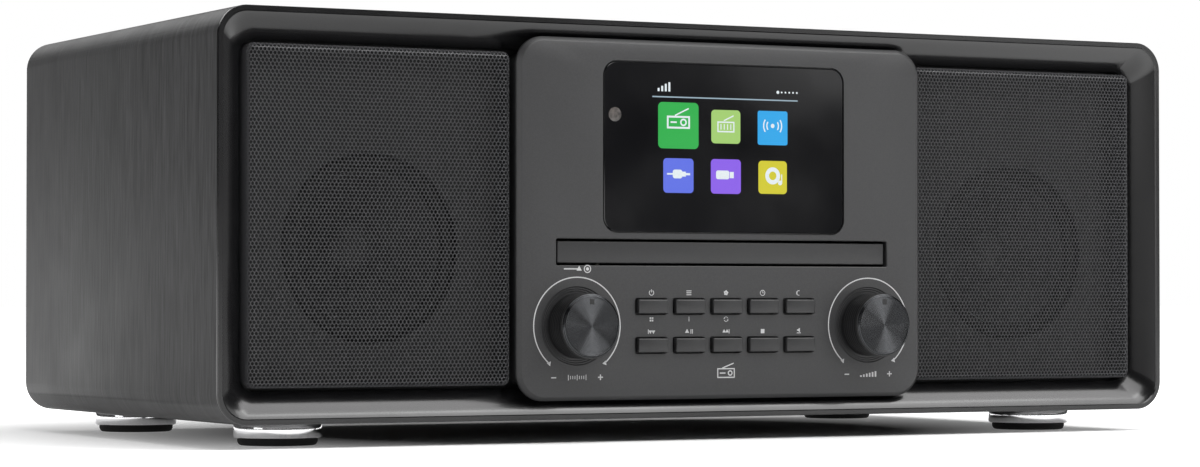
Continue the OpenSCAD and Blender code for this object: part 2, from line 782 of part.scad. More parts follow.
module antenna_tube(level) {
    outer = antenna_r - level * antenna_step;
    bore = outer - antenna_step + antenna_gap;
    x1 = tube_start - 2 * level;
    x0 = x1 - antenna_len - 2 * level;
    color("#c4c6ca") place() difference() {
        rod_x(outer, x0, x1);
        rod_x(bore, x0 - 1, x1 - 1);
    }
}

module antenna_tip_rod() color("#c4c6ca") place() {
    x1 = tube_start - 4;
    x0 = x1 - antenna_len - 3;
    rod_x(antenna_r - 2 * antenna_step, x0, x1);
    rod_x(antenna_r, x0 - 4, x0);
}

cabinet_shell();
front_bezel();
grille(-1);  // grille_left
grille(1);  // grille_right
fascia_panel();
display_lens();
lcd_module();
ir_receiver();
rear_panel();
rear_panel_screws();
feet();
foot_pads();
foot_screws();
control_board();
tact_switches();
encoder(-1, true);  // tune_encoder
encoder(1, false);  // volume_encoder
knob_shaft(-1);  // tune_shaft
knob_shaft(1);  // volume_shaft
tune_push_plunger();
knob(-1);  // tune_knob
knob_cap(-1);  // tune_knob_cap
knob(1);  // volume_knob
knob_cap(1);  // volume_knob_cap
push_button(-2, 1);  // power_button
push_button(-1, 1);  // menu_button
push_button(0, 1);  // preset_button
push_button(1, 1);  // alarm_button
push_button(2, 1);  // sleep_button
push_button(-2, 0);  // previous_button
push_button(-1, 0);  // play_button
push_button(0, 0);  // next_button
push_button(1, 0);  // stop_button
push_button(2, 0);  // eject_button
speaker_basket(-1);  // speaker_left_basket
speaker_magnet(-1);  // speaker_left_magnet
speaker_cone(-1);  // speaker_left_cone
speaker_surround(-1);  // speaker_left_surround
speaker_basket(1);  // speaker_right_basket
speaker_magnet(1);  // speaker_right_magnet
speaker_cone(1);  // speaker_right_cone
speaker_surround(1);  // speaker_right_surround
speaker_screws();
cd_chassis();
cd_tray();
cd_tray_front();
tray_pinion();
loading_motor();
motor_gear();
spindle_motor();
turntable();
traverse_deck();
optical_pickup();
main_board();
rear_sockets();
antenna_base();
antenna_elbow();
antenna_tube(0);  // antenna_tube_1
antenna_tube(1);  // antenna_tube_2
antenna_tip_rod();
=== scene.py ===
"""Looks of a tabletop radio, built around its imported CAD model."""

import json
import logging
import math
from dataclasses import dataclass, field, replace
from enum import Enum
from typing import Any, Callable

import bmesh
import bpy
from mathutils import Matrix, Vector


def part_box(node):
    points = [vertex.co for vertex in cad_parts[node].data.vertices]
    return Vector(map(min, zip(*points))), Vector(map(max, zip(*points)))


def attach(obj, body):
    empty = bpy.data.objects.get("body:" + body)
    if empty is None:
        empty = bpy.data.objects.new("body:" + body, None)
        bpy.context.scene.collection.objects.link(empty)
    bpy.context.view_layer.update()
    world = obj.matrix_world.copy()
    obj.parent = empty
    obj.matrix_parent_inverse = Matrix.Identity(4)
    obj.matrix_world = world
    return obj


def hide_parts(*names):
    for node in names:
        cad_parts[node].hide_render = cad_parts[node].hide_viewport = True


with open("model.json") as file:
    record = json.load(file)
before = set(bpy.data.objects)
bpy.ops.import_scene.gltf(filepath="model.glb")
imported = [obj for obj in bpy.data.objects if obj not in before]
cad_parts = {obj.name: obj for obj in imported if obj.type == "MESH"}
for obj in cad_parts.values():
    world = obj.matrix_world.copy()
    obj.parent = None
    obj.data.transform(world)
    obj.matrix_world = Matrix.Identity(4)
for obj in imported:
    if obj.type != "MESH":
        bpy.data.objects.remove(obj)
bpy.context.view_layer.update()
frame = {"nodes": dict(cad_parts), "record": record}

LOG = logging.getLogger("radio")
MM = 0.001
# Thickness of printed and lit marks
SKIN = 0.03 * MM
# Refractive index of plastics, paints and lacquers
COATING_INDEX = 1.5
COAT_ROUGHNESS = 0.08
# The part of a noise's range over which a finish goes from one end to the other
GRAIN_BAND = (0.3, 0.7)
# Patches of wear: their size, and what they add to the roughness
WORN_MM = 28.0
WORN_ROUGHNESS = 0.06


# ---------------------------------------------------------------- materials


def srgb(code: str) -> tuple[float, float, float, float]:
    """Turns an sRGB hex value to a linear colour.

    Args:
        code: six hex digits, with or without a leading hash.

    Returns:
        Linear red, green, blue and an alpha of 1.
    """
    code = code.lstrip("#")
    parts = [int(code[i:i + 2], 16) / 255 for i in (0, 2, 4)]
    linear = [c / 12.92 if c <= 0.04045 else ((c + 0.055) / 1.055) ** 2.4 for c in parts]
    return (linear[0], linear[1], linear[2], 1.0)


def add_node(tree: bpy.types.NodeTree, kind: str, inputs: dict[Any, Any] | None = None,
             **settings: Any) -> bpy.types.Node:
    """Adds a shader node with its settings and links.

    Args:
        tree: the material's node tree.
        kind: the node's type name, without "ShaderNode".
        inputs: socket name or index to a value, or to an output socket to link.
        settings: attributes of the node.

    Returns:
        The new node.
    """
    made = tree.nodes.new("ShaderNode" + kind)
    for name, value in settings.items():
        setattr(made, name, value)
    for name, value in (inputs or {}).items():
        if isinstance(value, bpy.types.NodeSocket):
            tree.links.new(value, made.inputs[name])
        else:
            made.inputs[name].default_value = value
    return made


class Pattern(Enum):
    """How a finish's grain lies on the piece."""

    SPECKLE = "speckle"
    WOOD = "wood"
    RINGS = "rings"


# Materials that exist already, by the name of their finish
BUILT: dict[str, bpy.types.Material] = {}


@dataclass(frozen=True)
class Finish:
    """One real material, as the eye sees it."""

    name: str
    dark: str
    light: str
    roughness: float
    grain_mm: float
    bump_mm: float
    metallic: float = 0.0
    coat: float = 0.0
    pattern: Pattern = Pattern.SPECKLE
    centre: tuple[float, float, float] = (0.0, 0.0, 0.0)
    glow: float = 0.0

    def _coordinates(self, tree: bpy.types.NodeTree, stretch: tuple[float, float, float],
                     grain_mm: float) -> bpy.types.NodeSocket:
        """Scales Object coordinates so that one unit is one grain.

        Args:
            tree: the material's node tree.
            stretch: a factor for each axis; below 1 draws the grain out.
            grain_mm: the grain's width.

        Returns:
            The socket of the scaled coordinates.
        """
        place = add_node(tree, "TexCoord")
        unit = 1 / (grain_mm * MM)
        scale = tuple(unit * s for s in stretch)
        mapping = add_node(tree, "Mapping", {0: place.outputs["Object"], "Scale": scale})
        return mapping.outputs[0]

    def _noise(self, tree: bpy.types.NodeTree, stretch: tuple[float, float, float],
               grain_mm: float, detail: float = 3.0) -> bpy.types.NodeSocket:
        """A noise whose blobs are about one grain wide.

        Args:
            tree, stretch, grain_mm: as for the coordinates.
            detail: the noise's levels of detail.

        Returns:
            The socket of its value.
        """
        place = self._coordinates(tree, stretch, grain_mm)
        noise = add_node(tree, "TexNoise", {"Vector": place, "Scale": 1.0, "Detail": detail})
        return noise.outputs[0]

    def _grain(self, tree: bpy.types.NodeTree) -> bpy.types.NodeSocket:
        """The finish's main pattern.

        Args:
            tree: the material's node tree.

        Returns:
            The socket of its value, from 0 to 1.
        """
        if self.pattern is Pattern.WOOD:
            fine = self._noise(tree, (0.05, 1.0, 0.05), self.grain_mm, 4.0)
            broad = self._noise(tree, (0.06, 1.0, 0.06), self.grain_mm * 5, 2.0)
            figure = add_node(tree, "MapRange", {0: broad, 3: 0.75, 4: 1.25})
            mix = add_node(tree, "Math", {0: fine, 1: figure.outputs[0]}, operation="MULTIPLY")
            return mix.outputs[0]
        if self.pattern is Pattern.RINGS:
            place = add_node(tree, "TexCoord")
            away = tuple(-c for c in self.centre)
            centred = add_node(tree, "Mapping", {0: place.outputs["Object"], "Location": away})
            flat = add_node(tree, "VectorMath", {0: centred.outputs[0], 1: (1.0, 0.0, 1.0)},
                            operation="MULTIPLY")
            reach = add_node(tree, "VectorMath", {0: flat.outputs[0]}, operation="LENGTH")
            turns = add_node(tree, "Math", {0: reach.outputs["Value"],
                                            1: 2 * math.pi / (self.grain_mm * MM)},
                             operation="MULTIPLY")
            wave = add_node(tree, "Math", {0: turns.outputs[0]}, operation="SINE")
            level = add_node(tree, "MapRange", {0: wave.outputs[0], 1: -1.0, 2: 1.0})
            return level.outputs[0]
        return self._noise(tree, (1.0, 1.0, 1.0), self.grain_mm)

    def material(self) -> bpy.types.Material:
        """Builds the node material once.

        Returns:
            The finished material.
        """
        if self.name in BUILT:
            return BUILT[self.name]
        made = BUILT[self.name] = bpy.data.materials.new(self.name)
        made.use_nodes = True
        tree = made.node_tree
        shader = tree.nodes["Principled BSDF"]
        grain = self._grain(tree)
        colour = add_node(tree, "ValToRGB", {0: grain})
        ends = zip(colour.color_ramp.elements, GRAIN_BAND, (self.dark, self.light))
        for element, position, code in ends:
            element.position = position
            element.color = srgb(code)
        if self.glow:
            shader.inputs["Base Color"].default_value = srgb("#040404")
            tree.links.new(colour.outputs[0], shader.inputs["Emission Color"])
            shader.inputs["Emission Strength"].default_value = self.glow
        else:
            tree.links.new(colour.outputs[0], shader.inputs["Base Color"])
        worn = self._noise(tree, (1.0, 1.0, 1.0), WORN_MM, 2.0)
        rough = add_node(tree, "MapRange", {0: worn, 1: GRAIN_BAND[0], 2: GRAIN_BAND[1],
                                            3: self.roughness,
                                            4: self.roughness + WORN_ROUGHNESS})
        tree.links.new(rough.outputs[0], shader.inputs["Roughness"])
        relief = add_node(tree, "Bump", {"Strength": 1.0, "Distance": self.bump_mm * MM,
                                         "Height": grain})
        tree.links.new(relief.outputs[0], shader.inputs["Normal"])
        even = {"Metallic": self.metallic, "IOR": COATING_INDEX, "Coat Weight": self.coat,
                "Coat Roughness": COAT_ROUGHNESS}
        for socket, value in even.items():
            shader.inputs[socket].default_value = value
        return made


# Printed vinyl foil over board: dull black with long fine ash-like pores along the grain
WRAP = Finish("black_ash_foil", "#09090a", "#303031", 0.48, 0.8, 0.10, pattern=Pattern.WOOD)
# Injection-moulded gloss ABS: deep black, clear reflections, a faint orange peel
GLOSS_ABS = Finish("gloss_black_abs", "#070708", "#0c0c0d", 0.20, 9.0, 0.004, coat=0.2)
# Spark-eroded satin ABS, dark grey: an even, fine, slightly shiny grain
SATIN_ABS = Finish("satin_grey_abs", "#242425", "#2c2c2d", 0.40, 0.45, 0.012)
# The same moulding in the drawer's front, a little darker
DRAWER_ABS = Finish("satin_drawer_abs", "#1e1e1f", "#242425", 0.42, 0.45, 0.012)
# Button caps: satin ABS, darker than the panel around them
BUTTON_ABS = Finish("button_abs", "#1c1c1d", "#222223", 0.36, 0.45, 0.01)
# Powder-coated punched steel: black with the fine texture of the powder; its colour is lifted to
# grey as a painted highlight for the light that the stamped webs catch
GRILLE_STEEL_PAINTED_HIGHLIGHT = Finish("powder_coated_steel_painted_highlight", "#38383a", "#525254", 0.30, 0.25, 0.01)
# Hard-coated acrylic: near black and mirror smooth
LENS_ACRYLIC = Finish("smoked_acrylic", "#08080a", "#0a0a0c", 0.08, 30.0, 0.001)
# Infrared window: smoky translucent plastic that looks grey-brown
IR_PLASTIC = Finish("infrared_window", "#24211f", "#5a5552", 0.22, 1.6, 0.05)
# Matt moulded ABS for the back and the inside
BACK_ABS = Finish("black_abs", "#0c0c0d", "#131314", 0.6, 0.6, 0.02)
# Polished chrome plate: a bright mirror with faint handling marks
CHROME = Finish("chrome_plate", "#ececee", "#f8f8f9", 0.06, 2.0, 0.001, metallic=1.0)
# Zinc-plated pressed steel
ZINC = Finish("zinc_plated_steel", "#8b8d90", "#a9abae", 0.34, 1.5, 0.01, metallic=1.0)
# Moulded rubber: dead matt black
RUBBER = Finish("moulded_rubber", "#0c0c0c", "#161616", 0.82, 0.8, 0.02)
# Glass-epoxy board under green solder resist
RESIST = Finish("green_circuit_board", "#0d3a20", "#17552f", 0.35, 4.0, 0.01)
# Natural acetal gears and plunger
ACETAL = Finish("natural_acetal", "#d8d3c2", "#e6e2d3", 0.40, 2.0, 0.01)
# Knob sides: moulded ABS, satin black
KNOB_ABS = Finish("knob_abs", "#0c0c0d", "#141415", 0.34, 0.5, 0.004)
# Coated paper cone and rubber surround
CONE_PAPER = Finish("coated_paper", "#101011", "#171718", 0.6, 0.7, 0.03)
# Pale grey silk-screen ink
INK = Finish("silkscreen_ink", "#a9a9aa", "#bcbcbd", 0.5, 0.3, 0.002)


def lit_pixels(name: str, dark: str, light: str) -> Finish:
    """A lit colour of the display.

    Args:
        name: the colour's name.
        dark, light: the two ends of its colour.

    Returns:
        Its finish.
    """
    return Finish(f"screen_{name}", dark, light, 0.3, 0.4, 0.0, glow=1.0)


# Lit white pixels, and the dimmer line under the heading
PIXEL_WHITE = lit_pixels("white", "#d9e3e8", "#e6eef1")
PIXEL_RULE = lit_pixels("rule", "#8fa6b4", "#9db4c2")


def spun_aluminium(name: str, centre: Vector) -> Finish:
    """Dark anodised aluminium with turning marks round a centre.

    Args:
        name: which piece it is on.
        centre: the middle of the marks.

    Returns:
        Its finish.
    """
    return Finish(f"spun_aluminium_{name}", "#2a2b2c", "#4c4d4f", 0.18, 0.42, 0.09, metallic=1.0,
                  pattern=Pattern.RINGS, centre=tuple(centre))


NODE_FINISHES = {
    "wrapped_board": WRAP, "gloss_black_abs": GLOSS_ABS, "perforated_steel": GRILLE_STEEL_PAINTED_HIGHLIGHT,
    "satin_grey_abs": SATIN_ABS, "display_glass": LENS_ACRYLIC, "ir_window": IR_PLASTIC,
    "black_abs": BACK_ABS, "steel": ZINC, "chrome": CHROME, "foot_rubber": RUBBER,
    "circuit_board": RESIST, "acetal": ACETAL, "knob_abs": KNOB_ABS, "spun_aluminium": ZINC,
    "button_abs": BUTTON_ABS, "cone_paper": CONE_PAPER, "surround_rubber": RUBBER,
}


# ---------------------------------------------------------------- shaping


@dataclass(frozen=True)
class Ring:
    """A rounded rectangle in X and Z at one depth, or a circle where half the size is radius."""

    width: float
    height: float
    radius: float
    y: float

    @classmethod
    def circle(cls, radius: float, y: float) -> "Ring":
        """A circle at one depth."""
        return cls(2 * radius, 2 * radius, radius, y)

    def middle_of_corner(self, lean: Vector) -> Vector:
        """The middle of the rounding on the side that lean points to."""
        return Vector((math.copysign(self.width / 2 - self.radius, lean.x), self.y,
                       math.copysign(self.height / 2 - self.radius, lean.z)))


Edges = list[bmesh.types.BMEdge]


@dataclass
class Sheet:
    """A bmesh in the making, with the few shapes the radio needs."""

    mesh: bmesh.types.BMesh = field(default_factory=bmesh.new)

    def ring(self, shape: Ring, x: float = 0.0, z: float = 0.0, steps: int = 8) -> Edges:
        """A rounded rectangle, grown from a circle.

        Args:
            shape: its size and depth.
            x, z: its middle.
            steps: segments in each corner.

        Returns:
            The ring's edges.
        """
        half_step = math.pi / (4 * steps)
        turn = Matrix.Rotation(math.pi / 2, 4, "X") @ Matrix.Rotation(half_step, 4, "Z")
        made = bmesh.ops.create_circle(self.mesh, segments=4 * steps, radius=1.0, matrix=turn)
        grown = shape.radius / math.cos(half_step)
        for vert in made["verts"]:
            corner = shape.middle_of_corner(vert.co) + Vector((x, 0, z))
            vert.co = corner + vert.co * grown
        return list({edge for vert in made["verts"] for edge in vert.link_edges})

    def loft(self, plan: list[Ring], x: float = 0.0, z: float = 0.0, steps: int = 8,
             closed: bool = False) -> tuple[Edges, Edges]:
        """A skin over rings, each extruded from the one before and moved to its shape.

        Args:
            plan: the rings in order.
            x, z: the middle that they share.
            steps: segments in each corner.
            closed: whether the last ring runs on to the first.

        Returns:
            The edges of the first and of the last ring.
        """
        first = edges = self.ring(plan[0], x, z, steps)
        offset = Vector((x, 0, z))
        stops = plan[1:] + plan[:1] if closed else plan[1:]
        for before, after in zip(plan, stops):
            grown = bmesh.ops.extrude_edge_only(self.mesh, edges=edges)["geom"]
            verts = {part for part in grown if isinstance(part, bmesh.types.BMVert)}
            edges = [part for part in grown if isinstance(part, bmesh.types.BMEdge)
                     and set(part.verts) <= verts]
            for vert in verts:
                place = vert.co - offset
                reach = place - before.middle_of_corner(place)
                vert.co = offset + after.middle_of_corner(place) + reach * (
                    after.radius / before.radius)
        return first, edges

    def fill(self, rings: list[Edges]) -> None:
        """Fills the flat area inside the first ring and outside the others."""
        edges = [edge for ring in rings for edge in ring]
        bmesh.ops.triangle_fill(self.mesh, edges=edges, use_beauty=True)

    def lathe(self, profile: list[tuple[float, float]], centre: Vector,
              axis: str = "Y", steps: int = 96) -> None:
        """Turns a profile round an axis.

        Args:
            profile: pairs of radius and place along the axis.
            centre: a point that the axis runs through.
            axis: "Y" or "Z".
            steps: segments round it.
        """
        along = Vector((0, 1, 0)) if axis == "Y" else Vector((0, 0, 1))
        verts = [self.mesh.verts.new(centre + Vector((radius, 0, 0)) + along * place)
                 for radius, place in profile]
        edges = [self.mesh.edges.new(pair) for pair in zip(verts, verts[1:])]
        bmesh.ops.spin(self.mesh, geom=verts + edges, cent=centre, axis=along,
                       angle=2 * math.pi, steps=steps, use_merge=True)

    def block(self, low: Vector, high: Vector, bevel: float = 0.0, segments: int = 3) -> None:
        """A box with rounded edges.

        Args:
            low, high: its corners.
            bevel: how far the rounding reaches, or 0 for none.
            segments: facets in the rounding.
        """
        size = high - low
        place = Matrix.Translation((low + high) / 2) @ Matrix.Diagonal((*size, 1))
        made = bmesh.ops.create_cube(self.mesh, size=1.0, matrix=place)
        if bevel:
            edges = list({edge for vert in made["verts"] for edge in vert.link_edges})
            bmesh.ops.bevel(self.mesh, geom=edges, offset=bevel, offset_type="OFFSET",
                            segments=segments, profile=0.5, affect="EDGES", material=-1)

    def finish(self, name: str, body: str, finish: Finish, slot: str,
               replaces: tuple[str, ...] = (), flat_angle: float = 32.0,
               weld: float = 0.002 * MM) -> bpy.types.Object:
        """Turns the bmesh into a piece that rides on a body.

        Args:
            name: the piece's name.
            body: the CAD body it moves with.
            finish: its material.
            slot: the record's material slot; not used.
            replaces: CAD nodes it stands for.
            flat_angle: edges sharper than this, in degrees, stay sharp.
            weld: vertices closer than this are merged.

        Returns:
            The new object.
        """
        bmesh.ops.remove_doubles(self.mesh, verts=self.mesh.verts[:], dist=weld)
        bmesh.ops.recalc_face_normals(self.mesh, faces=self.mesh.faces[:])
        data = bpy.data.meshes.new(name)
        self.mesh.to_mesh(data)
        self.mesh.free()
        data.polygons.foreach_set("use_smooth", [True] * len(data.polygons))
        data.set_sharp_from_angle(angle=math.radians(flat_angle))
        data.materials.append(finish.material())
        piece = bpy.data.objects.new(name, data)
        bpy.context.scene.collection.objects.link(piece)
        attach(piece, body)
        if replaces:
            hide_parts(*replaces)
        LOG.info("%s on %s: %d faces", name, body, len(data.polygons))
        return piece


def middle(node: str) -> Vector:
    """The middle of a CAD node's box."""
    low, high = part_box(node)
    return (low + high) / 2


def span(node: str) -> Vector:
    """The size of a CAD node's box."""
    low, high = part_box(node)
    return high - low


# ---------------------------------------------------------------- cabinet and front


@dataclass
class Cabinet:
    """The wrapped box, its bezel, baffle and feet."""

    corner: float = 11 * MM
    board: float = 9 * MM
    lip: float = 1.8 * MM
    edge: float = 0.35 * MM
    cove_steps: int = 14
    cove_depth: float = 8 * MM
    mouth_radius: float = 6 * MM
    mouth_side: float = 11.0 * MM
    mouth_top: float = 11.3 * MM
    cone_hole: float = 34 * MM
    inner_corner: float = 4 * MM
    step_in: float = 2.5 * MM
    step_depth: float = 8.6 * MM
    step_corner: float = 8.5 * MM
    rim_soft: float = 0.5 * MM
    rim_depth: float = 1.3 * MM
    spigot_in: float = 2.7 * MM
    spigot_corner: float = 8.3 * MM
    spigot_depth: float = 9.6 * MM
    body_in: float = 9.2 * MM
    bezel_depth: float = 13.8 * MM
    baffle_t: float = 3 * MM
    foot_radius: float = 15.8 * MM

    def __post_init__(self) -> None:
        """Reads the places that the front's pieces share."""
        self.low, self.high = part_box("cabinet_shell")
        self.rim_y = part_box("front_bezel")[0].y
        self.baffle_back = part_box("front_bezel")[1].y
        self.mid_z = (self.low.z + self.high.z) / 2
        self.width = self.high.x - self.low.x
        self.height = self.high.z - self.low.z

    def inset(self, by: float, corner: float, y: float) -> tuple[float, float, float, float]:
        """The cabinet's outline drawn in all round.

        Args:
            by: how far each side comes in.
            corner: its corner radius.
            y: its depth.

        Returns:
            Width, height, corner radius and depth, as a Ring takes them.
        """
        return (self.width - 2 * by, self.height - 2 * by, corner, y)

    def shell(self) -> None:
        """The board box with a softened front and rear edge."""
        sheet = Sheet()
        front, back = self.low.y, self.high.y
        step = front + self.step_depth
        plan = [
            self.inset(0, self.corner, back - self.edge),
            self.inset(self.edge / 2, self.corner, back),
            self.inset(self.board, self.inner_corner, back),
            self.inset(self.board, self.inner_corner, step),
            self.inset(self.step_in, self.step_corner, step),
            self.inset(self.step_in, self.step_corner, front),
            self.inset(self.edge / 2, self.corner, front),
            self.inset(0, self.corner, front + self.edge),
        ]
        sheet.loft([Ring(*size) for size in plan], z=self.mid_z, steps=12, closed=True)
        sheet.finish("cabinet_wrap", "cabinet", WRAP, "wrapped_board", ("cabinet_shell",))

    def bezel(self) -> None:
        """The gloss frame: a flat lip, then a rounded fall to the grilles."""
        sheet = Sheet()
        front = self.rim_y
        back = front + self.bezel_depth
        lip_corner = self.corner - self.lip
        soft = front + self.rim_soft
        plan = [
            self.inset(0, self.corner, front + self.rim_depth),
            self.inset(0, self.corner, soft),
            self.inset(self.rim_soft / 2, self.corner - 0.2 * MM, front),
            self.inset(self.lip, lip_corner, front),
            self.inset(self.lip + 0.3 * MM, lip_corner, soft),
        ]
        mouth_w = self.width - 2 * self.mouth_side
        mouth_h = self.height - 2 * self.mouth_top
        start_w, start_h = plan[-1][:2]
        for k in range(1, self.cove_steps + 1):
            t = k / self.cove_steps
            drop = 0.4 * t + 0.6 * (1 - math.cos(t * math.pi / 2))
            depth = soft + (self.cove_depth - self.rim_soft) * drop
            radius = lip_corner * (1 - t) + self.mouth_radius * t
            plan.append((start_w + (mouth_w - start_w) * t, start_h + (mouth_h - start_h) * t,
                         radius, depth))
        plan += [
            (mouth_w, mouth_h, self.mouth_radius, back),
            self.inset(self.body_in, self.inner_corner, back),
            self.inset(self.body_in, self.inner_corner, front + self.spigot_depth),
            self.inset(self.spigot_in, self.spigot_corner, front + self.spigot_depth),
            self.inset(self.spigot_in, self.spigot_corner, front + self.rim_depth),
        ]
        sheet.loft([Ring(*size) for size in plan], z=self.mid_z, steps=14, closed=True)
        sheet.finish("bezel_frame", "cabinet", GLOSS_ABS, "gloss_black_abs", ("front_bezel",))

    def baffle(self) -> None:
        """The moulded board behind the grilles, open at the speakers and in the middle."""
        sheet = Sheet()
        front = self.baffle_back - self.baffle_t
        outer = self.inset(self.body_in, self.inner_corner, front)[:3]
        centre = (span("fascia_panel").x - 14 * MM, self.height - 30 * MM, 3 * MM)
        walls = [sheet.loft([Ring(*size, front), Ring(*size, self.baffle_back)], z=self.mid_z)
                 for size in (outer, centre)]
        for side in ("left", "right"):
            spot = middle(f"speaker_{side}_cone")
            walls.append(sheet.loft([Ring.circle(self.cone_hole, front),
                                     Ring.circle(self.cone_hole, self.baffle_back)],
                                    spot.x, spot.z, steps=14))
        for rings in zip(*walls):
            sheet.fill(list(rings))
        sheet.finish("speaker_baffle", "cabinet", BACK_ABS, "black_abs")

    def feet(self) -> None:
        """Four chrome turned feet with a rubber pad under each."""
        low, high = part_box("feet")
        pad_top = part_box("foot_pads")[1].z
        radius = self.foot_radius
        chrome, rubber = Sheet(), Sheet()
        for x in (low.x + radius, high.x - radius):
            for y in (low.y + radius, high.y - radius):
                spot = Vector((x, y, 0))
                chrome.lathe([(0, high.z), (radius - 1.2 * MM, high.z),
                              (radius - 0.2 * MM, high.z - 0.3 * MM), (radius, high.z - 0.8 * MM),
                              (radius, low.z + 0.9 * MM), (radius - 0.25 * MM, low.z + 0.3 * MM),
                              (radius - 0.9 * MM, low.z), (0, low.z)], spot, "Z")
                rubber.lathe([(0, pad_top), (radius - 1.4 * MM, pad_top),
                              (radius - 1.5 * MM, 1.2 * MM), (radius - 2.0 * MM, 0.3 * MM),
                              (radius - 2.6 * MM, 0), (0, 0)], spot, "Z")
        chrome.finish("turned_feet", "cabinet", CHROME, "chrome", ("feet", "foot_screws"))
        rubber.finish("rubber_pads", "cabinet", RUBBER, "foot_rubber", ("foot_pads",))

    def build(self) -> None:
        """Makes the cabinet's pieces."""
        self.shell()
        self.bezel()
        self.baffle()
        self.feet()


@dataclass
class Grille:
    """One punched and folded speaker grille."""

    side: str
    pitch: float = 1.5 * MM
    hole: float = 0.60 * MM
    fold: float = 2.6 * MM
    sheet_t: float = 0.5 * MM
    wall_skin: float = 0.12 * MM
    wall_t: float = 0.6 * MM
    wall_from: float = 62.0

    def __post_init__(self) -> None:
        """Reads the pan's place."""
        self.low, self.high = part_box(f"grille_{self.side}")
        self.middle = (self.low + self.high) / 2
        self.half = (self.high - self.low) / 2

    def pan(self) -> None:
        """The plain side walls, from inside the fold to the back."""
        lean = math.radians(self.wall_from)
        size = 2 * self.half
        faces = []
        for t in (self.wall_skin, self.wall_t):
            inset = self.fold - (self.fold - t) * math.sin(lean)
            depth = self.low.y + self.fold - (self.fold - t) * math.cos(lean)
            faces.append([Ring(size.x - 2 * inset, size.z - 2 * inset, self.fold, depth),
                          Ring(size.x - 2 * t, size.z - 2 * t, self.fold, self.low.y + self.fold),
                          Ring(size.x - 2 * t, size.z - 2 * t, self.fold, self.high.y)])
        outside, inside = faces
        sheet = Sheet()
        sheet.loft(outside + inside[::-1], self.middle.x, self.middle.z, closed=True)
        sheet.finish(f"grille_{self.side}_pan", "cabinet", GRILLE_STEEL_PAINTED_HIGHLIGHT,
                     "perforated_steel", (f"grille_{self.side}",))

    def wrap(self, place: Vector) -> Vector:
        """Takes a point of the flat sheet over the folded edge.

        Args:
            place: a point of the flat sheet, whose depth is measured from its face.

        Returns:
            The same point on the folded sheet.
        """
        across = place.x - self.middle.x
        up = place.z - self.middle.z
        over_x = max(0.0, abs(across) - self.half.x + self.fold)
        over_z = max(0.0, abs(up) - self.half.z + self.fold)
        over = math.hypot(over_x, over_z)
        if over == 0:
            return place
        angle = min(over / self.fold, math.pi / 2)
        reach = (self.fold - place.y + self.low.y) * math.sin(angle)
        depth = self.fold - (self.fold - place.y + self.low.y) * math.cos(angle)
        depth += max(0.0, over - self.fold * math.pi / 2)
        across = math.copysign(abs(across) - over_x + reach * over_x / over, across)
        up = math.copysign(abs(up) - over_z + reach * over_z / over, up)
        return Vector((self.middle.x + across, self.low.y + depth, self.middle.z + up))

    def field(self) -> None:
        """The staggered holes: one hexagonal cell repeated, thickened, then folded."""
        row = self.pitch * math.sqrt(3) / 2
        arc = self.fold * (math.pi / 2 - 1)
        columns = int((2 * (self.half.x + arc)) / self.pitch)
        rows = int((2 * (self.half.z + arc)) / (2 * row))
        start = Vector((self.middle.x - (columns - 0.5) * self.pitch / 2, self.low.y,
                        self.middle.z - (rows - 0.5) * row))
        turn = Matrix.Rotation(math.pi / 2, 4, "X") @ Matrix.Rotation(math.pi / 6, 4, "Z")
        corner = self.pitch / math.sqrt(3)
        sheet = Sheet()
        mesh = sheet.mesh
        for shift in (Vector(), Vector((self.pitch / 2, 0, row))):
            cell = bmesh.ops.create_circle(mesh, segments=6, radius=corner, cap_ends=True,
                                           matrix=Matrix.Translation(start + shift) @ turn)
            face = cell["verts"][0].link_faces[0]
            bmesh.ops.inset_region(mesh, faces=[face], thickness=self.pitch / 2 - self.hole,
                                   use_boundary=True)
            bmesh.ops.delete(mesh, geom=[face], context="FACES_ONLY")
        for vector, count in ((Vector((self.pitch, 0, 0)), columns - 1),
                              (Vector((0, 0, 2 * row)), rows - 1)):
            every = mesh.verts[:] + mesh.edges[:] + mesh.faces[:]
            bmesh.ops.spin(mesh, geom=every, cent=(0, 0, 0), axis=(0, 1, 0), angle=0,
                           dvec=vector, steps=count, use_duplicate=True)
        bmesh.ops.remove_doubles(mesh, verts=mesh.verts[:], dist=0.01 * MM)
        thick = bmesh.ops.extrude_face_region(mesh, geom=mesh.faces[:], use_keep_orig=True)
        moved = [part for part in thick["geom"] if isinstance(part, bmesh.types.BMVert)]
        bmesh.ops.translate(mesh, verts=moved, vec=(0, self.sheet_t, 0))
        for vert in mesh.verts:
            vert.co = self.wrap(vert.co)
        sheet.finish(f"grille_{self.side}_holes", "cabinet", GRILLE_STEEL_PAINTED_HIGHLIGHT,
                     "perforated_steel", flat_angle=40)

    def build(self) -> None:
        """Makes the punched face and the side walls."""
        self.field()
        self.pan()


